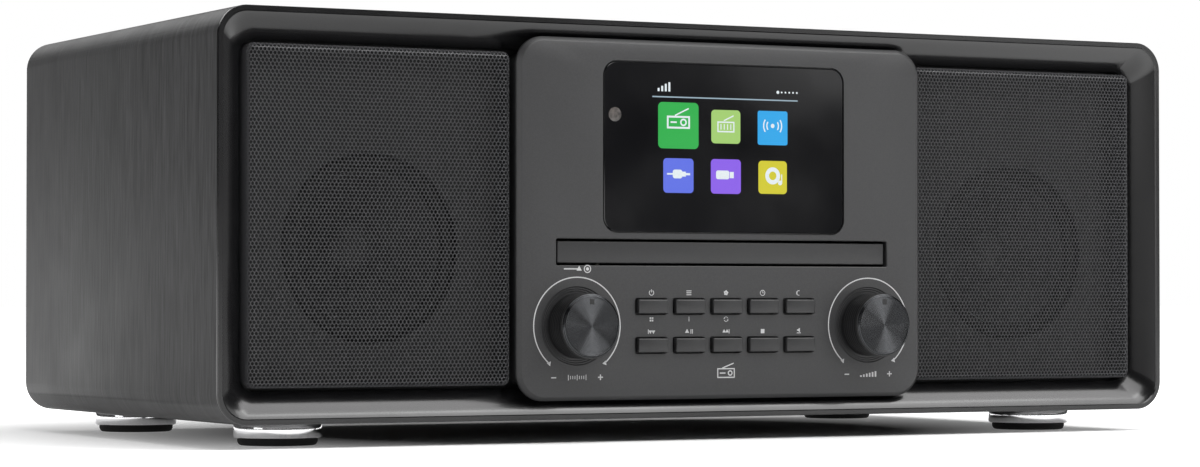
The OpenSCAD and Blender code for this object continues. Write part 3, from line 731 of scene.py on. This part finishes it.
@dataclass
class Fascia:
    """The centre panel with its openings and wells."""

    bevel: float = 1.8 * MM
    corner: float = 10.7 * MM
    plate: float = 3 * MM
    chamfer: float = 0.25 * MM
    well_radius: float = 14.3 * MM
    well_steps: tuple[tuple[float, float], ...] = (
        (13.9, 0.35), (13.5, 0.35), (13.2, 0.7), (12.7, 0.7), (12.4, 0.95))
    shaft_hole: float = 4.7 * MM
    key_hole: tuple[float, float, float] = (13.1 * MM, 5.8 * MM, 0.6 * MM)
    seat_corner: float = 5.8 * MM
    lens_gap: float = 0.5 * MM
    slot_gap: float = 0.85 * MM
    skirt_h: float = 120 * MM

    def __post_init__(self) -> None:
        """Reads the panel's place."""
        self.low, self.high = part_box("fascia_panel")
        self.face_y = self.low.y
        self.back_y = self.face_y + self.plate
        self.mid_z = (self.low.z + self.high.z) / 2
        self.width = self.high.x - self.low.x
        self.height = self.high.z - self.low.z

    def hole(self, sheet: Sheet, width: float, height: float, radius: float,
             x: float, z: float) -> tuple[Edges, Edges]:
        """A chamfered rectangular opening.

        Args:
            sheet: the panel's mesh.
            width, height, radius: the opening's size and corners.
            x, z: its middle.

        Returns:
            Its front and back edges.
        """
        cut = self.chamfer
        return sheet.loft([Ring(width + 2 * cut, height + 2 * cut, radius + cut, self.face_y),
                           Ring(width, height, radius, self.face_y + cut),
                           Ring(width, height, radius, self.back_y)], x, z, 4)

    def recess(self, sheet: Sheet) -> tuple[Edges, Edges]:
        """The lens's seat and the window behind it.

        Args:
            sheet: the panel's mesh.

        Returns:
            Their front and back edges.
        """
        spot, size = middle("display_lens"), span("display_lens")
        step = self.face_y + size.y
        picture = span("lcd_module")
        seat = (size.x + 2 * self.lens_gap, size.z + 2 * self.lens_gap, self.seat_corner)
        window = (picture.x - 4 * MM, picture.z - 4 * MM, 1 * MM)
        plan = [Ring(*seat, self.face_y), Ring(*seat, step), Ring(*window, step),
                Ring(*window, self.back_y)]
        return sheet.loft(plan, spot.x, spot.z)

    def well(self, sheet: Sheet, spot: Vector) -> tuple[Edges, Edges]:
        """The shallow stepped well around a knob, down to the hole for its shaft.

        Args:
            sheet: the panel's mesh.
            spot: the knob's middle.

        Returns:
            Its front and back edges.
        """
        floor = self.face_y + self.well_steps[-1][1] * MM
        rings = [Ring.circle(self.well_radius, self.face_y)]
        rings += [Ring.circle(radius * MM, self.face_y + depth * MM)
                  for radius, depth in self.well_steps]
        rings += [Ring.circle(self.shaft_hole, floor), Ring.circle(self.shaft_hole, self.back_y)]
        return sheet.loft(rings, spot.x, spot.z, 14)

    def outline(self, inset: float, depth: float) -> Ring:
        """The panel's outline, drawn in by an inset, at a depth behind its face."""
        return Ring(self.width - 2 * inset, self.height - 2 * inset, self.corner - inset,
                    self.face_y + depth)

    def build(self) -> None:
        """Makes the panel and its skirt."""
        sheet = Sheet()
        rise = [self.outline(self.bevel, 0), self.outline(self.bevel * 0.8, self.bevel * 0.08),
                self.outline(self.bevel * 0.1, self.bevel * 0.8), self.outline(0, self.bevel),
                self.outline(0, self.plate)]
        face, rear = sheet.loft(rise, z=self.mid_z, steps=12)
        holes = [self.recess(sheet)]
        drawer, size = middle("cd_tray_front"), span("cd_tray_front")
        holes.append(self.hole(sheet, size.x + 2 * self.slot_gap, size.z + 2 * self.slot_gap,
                               0.8 * MM, drawer.x, drawer.z))
        for key in KEYS:
            spot = middle(f"{key}_button")
            holes.append(self.hole(sheet, *self.key_hole, spot.x, spot.z))
        for knob in ("tune_knob", "volume_knob"):
            holes.append(self.well(sheet, middle(knob)))
        sheet.fill([face] + [front for front, _ in holes])
        sheet.fill([rear] + [back for _, back in holes])
        skirt = (self.width - 3.4 * MM, self.skirt_h, 6 * MM)
        inside = (skirt[0] - 5 * MM, skirt[1] - 5 * MM, 3.5 * MM)
        sheet.loft([Ring(*skirt, self.back_y), Ring(*skirt, self.high.y),
                    Ring(*inside, self.high.y), Ring(*inside, self.back_y)],
                   z=self.mid_z, closed=True)
        sheet.finish("fascia_moulding", "cabinet", SATIN_ABS, "satin_grey_abs",
                     ("fascia_panel",), flat_angle=24)


# ---------------------------------------------------------------- marks


@dataclass
class Marks:
    """Thin flat marks on one plane facing the front, drawn round an origin in a unit."""

    y: float
    x: float = 0.0
    z: float = 0.0
    unit: float = 1.0
    sheet: Sheet = field(default_factory=Sheet)

    def at(self, x: float, z: float, unit: float) -> "Marks":
        """The same marks, drawn on round another origin and in another unit."""
        return replace(self, x=x, z=z, unit=unit)

    def _spot(self, x: float, z: float) -> Vector:
        """A place on the plane."""
        return Vector((self.x + x * self.unit, self.y, self.z + z * self.unit))

    def _place(self, x: float, z: float, turn: float = 0.0) -> Matrix:
        """A matrix from flat XY to the plane, turned in it by degrees."""
        return (Matrix.Translation(self._spot(x, z)) @ Matrix.Rotation(math.pi / 2, 4, "X")
                @ Matrix.Rotation(math.radians(turn), 4, "Z"))

    def bar(self, x: float, z: float, width: float, height: float, turn: float = 0.0) -> None:
        """A rectangle.

        Args:
            x, z: its middle.
            width, height: its size.
            turn: degrees, counter-clockwise.
        """
        size = Matrix.Diagonal((width * self.unit, height * self.unit, 1, 1))
        bmesh.ops.create_grid(self.sheet.mesh, x_segments=1, y_segments=1, size=0.5,
                              matrix=self._place(x, z, turn) @ size)

    def polygon(self, x: float, z: float, radius: float, sides: int, turn: float = 0.0) -> None:
        """A regular polygon, such as a triangle or a dot."""
        bmesh.ops.create_circle(self.sheet.mesh, segments=sides, radius=radius * self.unit,
                                cap_ends=True, matrix=self._place(x, z, turn))

    def arc(self, x: float, z: float, radius: float, stroke: float, start: float,
            sweep: float, steps: int = 32) -> None:
        """A band round a centre.

        Args:
            x, z: the centre.
            radius: of the band's middle.
            stroke: the band's width.
            start, sweep: degrees, counter-clockwise.
            steps: segments.
        """
        mesh = self.sheet.mesh
        lean = Vector((math.cos(math.radians(start)), 0, math.sin(math.radians(start))))
        centre = self._spot(x, z)
        ends = [mesh.verts.new(centre + lean * ((radius + offset * stroke / 2) * self.unit))
                for offset in (-1, 1)]
        edge = mesh.edges.new(ends)
        bmesh.ops.spin(mesh, geom=[*ends, edge], cent=centre, axis=(0, -1, 0),
                       angle=math.radians(sweep), steps=steps, use_merge=sweep >= 360)

    def tile(self, x: float, z: float, width: float, height: float, radius: float) -> None:
        """A filled rounded rectangle.

        Args:
            x, z: its middle.
            width, height, radius: its size and corners.
        """
        spot = self._spot(x, z)
        outline = Ring(width * self.unit, height * self.unit, radius * self.unit, self.y)
        bmesh.ops.contextual_create(self.sheet.mesh,
                                    geom=self.sheet.ring(outline, spot.x, spot.z, 5))

    def finish(self, name: str, finish: Finish, slot: str) -> None:
        """Gives the marks their thickness and makes them one piece of the cabinet.

        Args:
            name: the piece's name.
            finish: its material.
            slot: the record's material slot.
        """
        mesh = self.sheet.mesh
        made = bmesh.ops.extrude_face_region(mesh, geom=mesh.faces[:], use_keep_orig=True)
        moved = [part for part in made["geom"] if isinstance(part, bmesh.types.BMVert)]
        bmesh.ops.translate(mesh, verts=moved, vec=(0, SKIN, 0))
        self.sheet.finish(name, "cabinet", finish, slot, weld=0.0005 * MM)


KEYS = ("power", "menu", "preset", "alarm", "sleep", "previous", "play", "next", "stop", "eject")

# A sign draws itself round the origin of marks whose unit is half the sign's height
Sign = Callable[[Marks], None]


def power_sign(marks: Marks) -> None:
    """A broken ring with a stroke in its gap."""
    marks.arc(0, 0, 0.8, 0.22, 120, 300, 20)
    marks.bar(0, 0.6, 0.22, 0.95)


def menu_sign(marks: Marks) -> None:
    """Three bars."""
    for z in (-0.62, 0, 0.62):
        marks.bar(0, z, 1.8, 0.24)


def preset_sign(marks: Marks) -> None:
    """A five-point star from five triangles.

    Args:
        marks: where it is drawn.
    """
    for turn in range(90, 450, 72):
        angle = math.radians(turn)
        marks.polygon(math.cos(angle) * 0.5, math.sin(angle) * 0.5, 0.5, 3, turn)


def alarm_sign(marks: Marks) -> None:
    """A clock face with two hands.

    Args:
        marks: where it is drawn.
    """
    marks.arc(0, 0, 0.85, 0.2, 0, 360, 24)
    marks.bar(0, 0.26, 0.18, 0.6)
    marks.bar(0.22, 0, 0.5, 0.18)


def sleep_sign(marks: Marks) -> None:
    """A crescent from three arcs, the middle one wider."""
    for start, stroke in ((70, 0.216), (143, 0.408), (216, 0.216)):
        marks.arc(0, 0, 0.75, stroke, start, 74, 10)


def skip_sign(way: int) -> Sign:
    """A bar and two triangles that point to it.

    Args:
        way: 1 for the right, -1 for the left.

    Returns:
        The sign.
    """
    def draw(marks: Marks) -> None:
        """Draws the bar, then the triangles.

        Args:
            marks: where it is drawn.
        """
        marks.bar(way * 1.15, 0, 0.24, 1.4)
        for x in (0.4, -0.7):
            marks.polygon(way * x, 0, 0.72, 3, 90 - 90 * way)
    return draw


def play_sign(marks: Marks) -> None:
    """A triangle pointing right and a pause sign.

    Args:
        marks: where it is drawn.
    """
    marks.polygon(-0.7, 0, 0.85, 3)
    for x in (0.7, 1.25):
        marks.bar(x, 0, 0.26, 1.4)


def stop_sign(marks: Marks) -> None:
    """A square."""
    marks.bar(0, 0, 1.35, 1.35)


def eject_sign(marks: Marks) -> None:
    """A triangle over a bar."""
    marks.polygon(0, 0.3, 0.8, 3, 90)
    marks.bar(0, -0.62, 1.5, 0.26)


def mode_sign(marks: Marks) -> None:
    """Four small squares.

    Args:
        marks: where it is drawn.
    """
    for x in (-0.42, 0.42):
        for z in (-0.42, 0.42):
            marks.bar(x, z, 0.6, 0.6)


def info_sign(marks: Marks) -> None:
    """A dot over a stem."""
    marks.polygon(0, 0.72, 0.2, 12)
    marks.bar(0, -0.2, 0.26, 1.1)


def repeat_sign(marks: Marks) -> None:
    """Two part turns, each with an arrowhead.

    Args:
        marks: where it is drawn.
    """
    for turn in (0, 180):
        marks.arc(0, 0, 0.8, 0.2, 20 + turn, 130, 14)
        end = 156 + turn
        angle = math.radians(end)
        marks.polygon(math.cos(angle) * 0.8, math.sin(angle) * 0.8, 0.36, 3, end + 90)


def radio_sign(marks: Marks) -> None:
    """A small generic radio: a case with a dial and a slanted antenna.

    Args:
        marks: where it is drawn.
    """
    for side in (-1, 1):
        marks.bar(0, side, 4.6, 0.26)
        marks.bar(side * 2.2, 0, 0.26, 2.1)
    marks.arc(1.1, 0, 0.5, 0.26, 0, 360, 20)
    marks.bar(-0.9, 0, 1.5, 0.26)
    marks.bar(0.5, 1.7, 3.2, 0.26, 20)


SIGNS: dict[str, Sign] = {
    "power": power_sign, "menu": menu_sign, "preset": preset_sign, "alarm": alarm_sign,
    "sleep": sleep_sign, "previous": skip_sign(-1), "play": play_sign, "next": skip_sign(1),
    "stop": stop_sign, "eject": eject_sign,
}
LOWER_SIGNS: dict[str, Sign] = {"power": mode_sign, "menu": info_sign, "preset": repeat_sign}


@dataclass
class Print:
    """The silk-screen marks on the fascia."""

    size: float = 1.15 * MM
    lower_size: float = 1.035 * MM
    above: float = 5.0 * MM
    below: float = 4.7 * MM
    arc_radius: float = 17.6
    arc_stroke: float = 0.4
    open_half: float = 40
    row: float = 18.6
    sign_side: float = 9.5
    stroke: float = 0.42
    length: float = 2.0
    press_above: float = 20.6 * MM
    radio_below: float = 17.6 * MM
    radio_size: float = 1.6 * MM

    def dial(self, marks: Marks) -> None:
        """The open ring round a knob, with an arrowhead at each lower end and minus and plus.

        Args:
            marks: where they are drawn, round the knob and in millimetres.
        """
        marks.arc(0, 0, self.arc_radius, self.arc_stroke, 270 + self.open_half,
                  360 - 2 * self.open_half, 72)
        for side in (-1, 1):
            end = 270 + side * self.open_half
            angle = math.radians(end)
            marks.polygon(math.cos(angle) * self.arc_radius, math.sin(angle) * self.arc_radius,
                          1.0, 3, end - side * 90)
            marks.bar(side * self.sign_side, -self.row, self.length, self.stroke)
        marks.bar(self.sign_side, -self.row, self.stroke, self.length)

    def press_sign(self, marks: Marks) -> None:
        """A target and an arrow to it, for the dial that is pressed.

        Args:
            marks: where they are drawn, in millimetres.
        """
        marks.arc(4.2, 0, 1.3, 0.34, 0, 360, 28)
        marks.polygon(4.2, 0, 0.6, 16)
        marks.bar(-2.6, 0, 5.6, self.stroke)
        marks.polygon(0.8, 0, 1.2, 3)

    def tuning_scale(self, marks: Marks) -> None:
        """A row of ticks, every fourth one longer."""
        for k in range(-4, 5):
            marks.bar(k * 0.9, -self.row, 0.26, 2.0 if k % 4 == 0 else 1.2)

    def rising_bars(self, marks: Marks) -> None:
        """Six bars of rising height on one foot line."""
        for k in range(6):
            marks.bar((k - 2.5) * 1.3, -self.row - (5 - k) * 0.15, 0.7, 0.6 + 0.3 * k)

    def build(self, face_y: float) -> None:
        """Prints the signs for the keys and the knobs.

        Args:
            face_y: the depth of the panel's face.
        """
        marks = Marks(face_y - SKIN)
        for key in KEYS:
            spot = middle(f"{key}_button")
            SIGNS[key](marks.at(spot.x, spot.z + self.above, self.size))
            if key in LOWER_SIGNS:
                LOWER_SIGNS[key](marks.at(spot.x, spot.z - self.below, self.lower_size))
        for which, scale in (("tune", self.tuning_scale), ("volume", self.rising_bars)):
            spot = middle(f"{which}_knob")
            around = marks.at(spot.x, spot.z, MM)
            self.dial(around)
            scale(around)
        spot = middle("tune_knob")
        self.press_sign(marks.at(spot.x, spot.z + self.press_above, MM))
        radio_sign(marks.at(0.0, spot.z - self.radio_below, self.radio_size))
        marks.finish("panel_print", INK, "satin_grey_abs")


def radio_tile(ink: Marks) -> None:
    """A radio's case with a dial, a grille bar and a slanted antenna.

    Args:
        ink: where it is drawn, in millimetres.
    """
    for z in (-1.6, 2.4):
        ink.bar(0, z, 9.6, 0.7)
    for x in (-4.5, 4.5):
        ink.bar(x, 0.4, 0.7, 4.4)
    ink.arc(2.1, 0.4, 1.1, 0.6, 0, 360, 20)
    ink.bar(-2.0, 0.4, 2.6, 0.6)
    ink.bar(1.4, 4.2, 6.4, 0.5, 25)


def tuner_tile(ink: Marks) -> None:
    """A low case with four slots and an antenna.

    Args:
        ink: where it is drawn, in millimetres.
    """
    for z in (-2.6, 0.9):
        ink.bar(0, z, 7.2, 0.5)
    for x in (-3.4, 3.4):
        ink.bar(x, -0.85, 0.5, 3.9)
    for k in range(4):
        ink.bar(1.4 * k - 2.1, -0.85, 0.4, 2.0)
    ink.bar(1.2, 2.4, 4.6, 0.45, 25)


def waves_tile(ink: Marks) -> None:
    """A dot with two arcs on either side.

    Args:
        ink: where it is drawn, in millimetres.
    """
    for start in (145, -35):
        for radius in (3.9, 2.5):
            ink.arc(0, 0, radius, 0.5, start, 70, 10)
    ink.polygon(0, 0, 0.8, 16)


def plug_tile(ink: Marks) -> None:
    """An audio plug: cable, body, collar and pin.

    Args:
        ink: where it is drawn, in millimetres.
    """
    ink.bar(-3.3, 0, 3.0, 0.6)
    ink.tile(-0.4, 0, 4.0, 3.2, 0.9)
    ink.bar(2.3, 0, 1.6, 1.8)
    ink.bar(4.0, 0, 1.8, 0.8)


def stick_tile(ink: Marks) -> None:
    """A memory stick: body and plug."""
    ink.tile(-1.4, 0, 5.6, 3.2, 0.8)
    ink.bar(2.5, 0, 1.7, 2.3)


def disc_tile(ink: Marks) -> None:
    """A disc with a note beside it.

    Args:
        ink: where it is drawn, in millimetres.
    """
    ink.arc(0, 0, 2.4, 1.6, 0, 360, 28)
    ink.polygon(3.2, -2.6, 0.9, 14)
    ink.bar(3.9, -1.0, 0.4, 3.2)


@dataclass(frozen=True)
class Tile:
    """One coloured tile of the display; its sizes are in millimetres."""

    name: str
    colour: str
    column: int
    row: int
    width: float
    height: float
    radius: float
    sign: Sign


TILES = (
    Tile("green", "#00A83C", -1, 0, 17.0, 17.0, 1.8, radio_tile),
    Tile("leaf", "#9DC968", 0, 0, 12.4, 12.4, 1.5, tuner_tile),
    Tile("blue", "#00A0E4", 1, 0, 12.9, 12.7, 0.9, waves_tile),
    Tile("indigo", "#5468E0", -1, 1, 12.7, 12.7, 1.5, plug_tile),
    Tile("purple", "#8454E4", 0, 1, 12.8, 12.8, 1.5, stick_tile),
    Tile("yellow", "#CCC400", 1, 1, 12.3, 12.3, 1.5, disc_tile),
)


@dataclass
class Screen:
    """The lens, the lit picture behind it and the infrared window."""

    column: float = 20.1 * MM
    tile_rows: tuple[float, float] = (8.2 * MM, -10.2 * MM)
    sign_rows: tuple[float, float] = (9.0 * MM, -9.6 * MM)
    lens_cut: float = 0.25 * MM
    lens_corner: float = 5.35 * MM

    def tiles(self, spot: Vector, y: float) -> None:
        """Six lit tiles, and one piece with a white generic sign on each.

        Args:
            spot: the middle of the lens.
            y: the depth of its face.
        """
        ink = Marks(y - 2.2 * SKIN)
        for tile in TILES:
            x = spot.x + tile.column * self.column
            marks = Marks(y - SKIN).at(x, spot.z + self.tile_rows[tile.row], MM)
            marks.tile(0, 0, tile.width, tile.height, tile.radius)
            marks.finish(f"tile_{tile.name}", lit_pixels(tile.name, tile.colour, tile.colour),
                         "display_glass")
            tile.sign(ink.at(x, spot.z + self.sign_rows[tile.row], MM))
        ink.finish("screen_signs", PIXEL_WHITE, "display_glass")

    def heading(self, spot: Vector, y: float) -> None:
        """A row of bars for the title, a page counter of dots, and the rule.

        Args:
            spot: the middle of the lens.
            y: their depth.
        """
        ink = Marks(y).at(spot.x, spot.z, MM)
        for k, height in enumerate((1.2, 2.0, 2.8, 3.4)):
            ink.bar(k * 1.5 - 28.4, 20.6 + height / 2, 0.8, height)
        for k in range(6):
            ink.polygon(22.4 + 1.65 * k, 21.6, 0.62 if k == 0 else 0.36, 12)
        ink.finish("screen_heading", PIXEL_WHITE, "display_glass")
        rule = Marks(y).at(spot.x, spot.z, MM)
        rule.bar(0, 18.6, 62, 0.45)
        rule.finish("screen_rule", PIXEL_RULE, "display_glass")

    def build(self) -> None:
        """Makes the lens and what shows through it."""
        low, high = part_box("display_lens")
        spot = (low + high) / 2
        size = high - low
        lens = Sheet()
        cut, corner = self.lens_cut, self.lens_corner
        plan = [Ring(size.x, size.z, corner, high.y), Ring(size.x, size.z, corner, low.y + cut),
                Ring(size.x - 2 * cut, size.z - 2 * cut, corner - cut, low.y)]
        for ends in lens.loft(plan, spot.x, spot.z, 10):
            lens.fill([ends])
        lens.finish("lens_plate", "cabinet", LENS_ACRYLIC, "gloss_black_abs", ("display_lens",))
        self.tiles(spot, low.y)
        self.heading(spot, low.y - SKIN)
        eye = middle("ir_receiver")
        sensor = Sheet()
        sensor.lathe([(0, -0.12 * MM), (1.4 * MM, -0.1 * MM), (2.3 * MM, -0.04 * MM),
                      (2.6 * MM, 0), (2.6 * MM, 0.3 * MM), (0, 0.3 * MM)],
                     Vector((eye.x, low.y, eye.z)), steps=40)
        sensor.finish("infrared_eye", "cabinet", IR_PLASTIC, "ir_window", ("ir_receiver",))


# ---------------------------------------------------------------- controls


@dataclass
class Controls:
    """Buttons, knobs and the drawer's front."""

    key_size: tuple[float, float] = (12.4 * MM, 5.1 * MM)
    key_edge: float = 0.45 * MM
    key_cap: float = 4.6 * MM
    key_flange: tuple[float, float] = (4.9 * MM, 5.6 * MM)
    key_stem: float = 4.2 * MM
    key_stem_half: float = 1.0 * MM
    grooves: int = 7
    groove_depth: float = 0.22 * MM
    knob_foot: float = 0.8 * MM
    knob_bore: float = 3.0 * MM
    face_depth: float = 1.1 * MM
    face_in: float = 0.35 * MM
    pointer_up: float = 8.8 * MM

    def buttons(self) -> None:
        """Ten satin caps with softened edges, each on its own body."""
        for key in KEYS:
            node = f"{key}_button"
            low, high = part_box(node)
            spot = (low + high) / 2
            half = Vector((self.key_size[0] / 2, 0, self.key_size[1] / 2))
            stem = Vector((self.key_stem_half, 0, self.key_stem_half))
            front, back = self.key_flange
            sheet = Sheet()
            sheet.block(Vector((spot.x - half.x, low.y, spot.z - half.z)),
                        Vector((spot.x + half.x, low.y + self.key_cap, spot.z + half.z)),
                        self.key_edge)
            sheet.block(Vector((low.x, low.y + front, low.z)),
                        Vector((high.x, low.y + back, high.z)), 0.1 * MM, 1)
            sheet.block(Vector((spot.x - stem.x, low.y + self.key_stem, spot.z - stem.z)),
                        Vector((spot.x + stem.x, high.y, spot.z + stem.z)), 0.2 * MM, 2)
            sheet.finish(f"{key}_cap", f"{key}_key", BUTTON_ABS, "button_abs", (node,))

    def knob(self, which: str) -> None:
        """A grooved black side and a spun face with a bright turned edge and its pointer.

        Args:
            which: "tune" or "volume".
        """
        low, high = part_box(f"{which}_knob")
        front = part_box(f"{which}_knob_cap")[0].y
        centre = Vector(((low.x + high.x) / 2, 0, (low.z + high.z) / 2))
        radius = (high.x - low.x) / 2
        shoulder = front + self.face_depth
        body = f"{which}_dial"
        start = high.y - self.knob_foot
        groove = radius - self.groove_depth
        profile = [(self.knob_bore, high.y - 1.2 * MM), (radius - 2 * MM, high.y - 1.2 * MM),
                   (radius - 1.6 * MM, high.y), (radius - 0.3 * MM, high.y),
                   (radius, high.y - 0.3 * MM)]
        pitch = (start - shoulder - self.knob_foot) / self.grooves
        for k in range(self.grooves):
            place = start - k * pitch
            profile += [(radius, place), (groove, place - 0.3 * pitch),
                        (groove, place - 0.5 * pitch), (radius, place - 0.8 * pitch)]
        profile += [(radius, shoulder + 0.3 * MM), (radius - 0.25 * MM, shoulder),
                    (self.knob_bore, shoulder)]
        side = Sheet()
        side.lathe([*profile, profile[0]], centre)
        side.finish(f"{which}_knob_side", body, KNOB_ABS, "knob_abs", (f"{which}_knob",),
                    flat_angle=40)
        rim = radius - self.face_in
        dish = front + 0.1 * MM
        back = shoulder + 0.05 * MM
        face = Sheet()
        face.lathe([(0, dish), (rim - 1.1 * MM, dish), (rim - 0.95 * MM, front),
                    (rim - 0.75 * MM, front), (rim, shoulder - 0.35 * MM), (rim, back), (0, back)],
                   centre, steps=128)
        face.finish(f"{which}_knob_face", body, spun_aluminium(which, centre), "spun_aluminium",
                    (f"{which}_knob_cap",))
        top = centre.z + self.pointer_up
        pointer = Sheet()
        pointer.block(Vector((centre.x - 0.9 * MM, front + 0.02 * MM, top - 1.0 * MM)),
                      Vector((centre.x + 0.9 * MM, front + 0.3 * MM, top + 1.0 * MM)),
                      0.05 * MM, 1)
        pointer.finish(f"{which}_pointer", body, KNOB_ABS, "knob_abs")

    def drawer(self) -> None:
        """The drawer's front, with a soft edge all round."""
        low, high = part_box("cd_tray_front")
        sheet = Sheet()
        sheet.block(low, high, 0.5 * MM)
        sheet.finish("drawer_front", "drawer", DRAWER_ABS, "satin_grey_abs", ("cd_tray_front",))

    def build(self) -> None:
        """Makes the controls."""
        self.buttons()
        for which in ("tune", "volume"):
            self.knob(which)
        self.drawer()


# ---------------------------------------------------------------- stage


@dataclass(frozen=True)
class Lamp:
    """A soft rectangular light: its place, width, height and watts."""

    name: str
    place: tuple[float, float, float]
    width: float
    height: float
    watts: float


LAMPS = (
    Lamp("overhead", (0.45, -0.75, 1.7), 2.6, 1.5, 50),
    Lamp("left_bank", (-2.0, -0.6, 0.7), 0.9, 1.2, 7),
    Lamp("right_high", (1.1, -1.5, 1.4), 1.0, 0.8, 14),
    Lamp("behind", (-0.6, 1.6, 1.3), 1.8, 0.8, 12),
    Lamp("front_right", (1.62, -2.0, 0.72), 0.9, 0.9, 4),
)


@dataclass
class Studio:
    """Floor, lights and camera."""

    aim: Vector = field(default_factory=lambda: Vector((0, 0, 0.08)))
    eye: Vector = field(default_factory=lambda: Vector((-0.63069, -1.194565, 0.05183)))
    heading: float = 27.90
    rise: float = 1.11
    lens_mm: float = 102.27
    sensor_mm: float = 36.0
    floor_size: float = 20.0
    glow_reach: tuple[float, float] = (0.12, 0.45)
    surround: float = 0.06

    def camera(self) -> None:
        """The view, level with the middle of the cabinet's lower half."""
        data = bpy.data.cameras.new("view")
        data.lens = self.lens_mm
        data.sensor_width = self.sensor_mm
        data.clip_start = 0.01
        holder = bpy.data.objects.new("view", data)
        holder.location = self.eye
        holder.rotation_euler = (math.radians(90 + self.rise), 0, math.radians(-self.heading))
        bpy.context.scene.collection.objects.link(holder)
        bpy.context.scene.camera = holder

    def light(self, lamp: Lamp) -> None:
        """Hangs one lamp and points it at the radio.

        Args:
            lamp: what it is and where.
        """
        data = bpy.data.lights.new(lamp.name, "AREA")
        data.shape = "RECTANGLE"
        data.size, data.size_y = lamp.width, lamp.height
        data.energy = lamp.watts
        holder = bpy.data.objects.new(lamp.name, data)
        holder.location = lamp.place
        away = self.aim - Vector(lamp.place)
        holder.rotation_euler = away.to_track_quat("-Z", "Y").to_euler()
        bpy.context.scene.collection.objects.link(holder)

    def floor(self) -> None:
        """A wide white floor that glows away from the radio, so that it has no far edge."""
        shape = bmesh.new()
        bmesh.ops.create_grid(shape, x_segments=1, y_segments=1, size=self.floor_size)
        data = bpy.data.meshes.new("floor")
        shape.to_mesh(data)
        shape.free()
        paper = Finish("studio_paper", "#f4f4f4", "#f9f9f9", 0.85, 4.0, 0.01).material()
        tree = paper.node_tree
        place = add_node(tree, "TexCoord")
        reach = add_node(tree, "VectorMath", {0: place.outputs["Object"]}, operation="LENGTH")
        near, far = self.glow_reach
        glow = add_node(tree, "MapRange", {0: reach.outputs["Value"], 1: near, 2: far})
        shader = tree.nodes["Principled BSDF"]
        shader.inputs["Emission Color"].default_value = (1, 1, 1, 1)
        tree.links.new(glow.outputs[0], shader.inputs["Emission Strength"])
        data.materials.append(paper)
        ground = bpy.data.objects.new("floor", data)
        bpy.context.scene.collection.objects.link(ground)

    def sky(self) -> None:
        """White where it is looked at directly, and dim where it only lights the radio."""
        world = bpy.data.worlds.new("studio")
        world.use_nodes = True
        tree = world.node_tree
        ray = add_node(tree, "LightPath")
        seen = add_node(tree, "MapRange", {0: ray.outputs["Is Camera Ray"],
                                           3: self.surround, 4: 1.0})
        backdrop = tree.nodes["Background"]
        backdrop.inputs[0].default_value = (1, 1, 1, 1)
        tree.links.new(seen.outputs[0], backdrop.inputs[1])
        bpy.context.scene.world = world
        bpy.context.scene.view_settings.view_transform = "Standard"

    def build(self) -> None:
        """Sets the stage."""
        self.camera()
        self.floor()
        self.sky()
        for lamp in LAMPS:
            self.light(lamp)


def dress_nodes() -> None:
    """Gives every CAD node that stays its material."""
    slots = {part["node"]: part["material_slot"] for part in frame["record"]["subparts"]}
    for name, made in frame["nodes"].items():
        finish = NODE_FINISHES[slots[name]]
        for holder in made.material_slots:
            holder.material = finish.material()


def main() -> None:
    """Builds the radio's looks in order."""
    logging.basicConfig(level=logging.INFO, format="%(message)s")
    Studio().build()
    dress_nodes()
    Cabinet().build()
    for side in ("left", "right"):
        Grille(side).build()
    fascia = Fascia()
    fascia.build()
    Print().build(fascia.face_y)
    Screen().build()
    Controls().build()


if __name__ == "__main__":
    main()
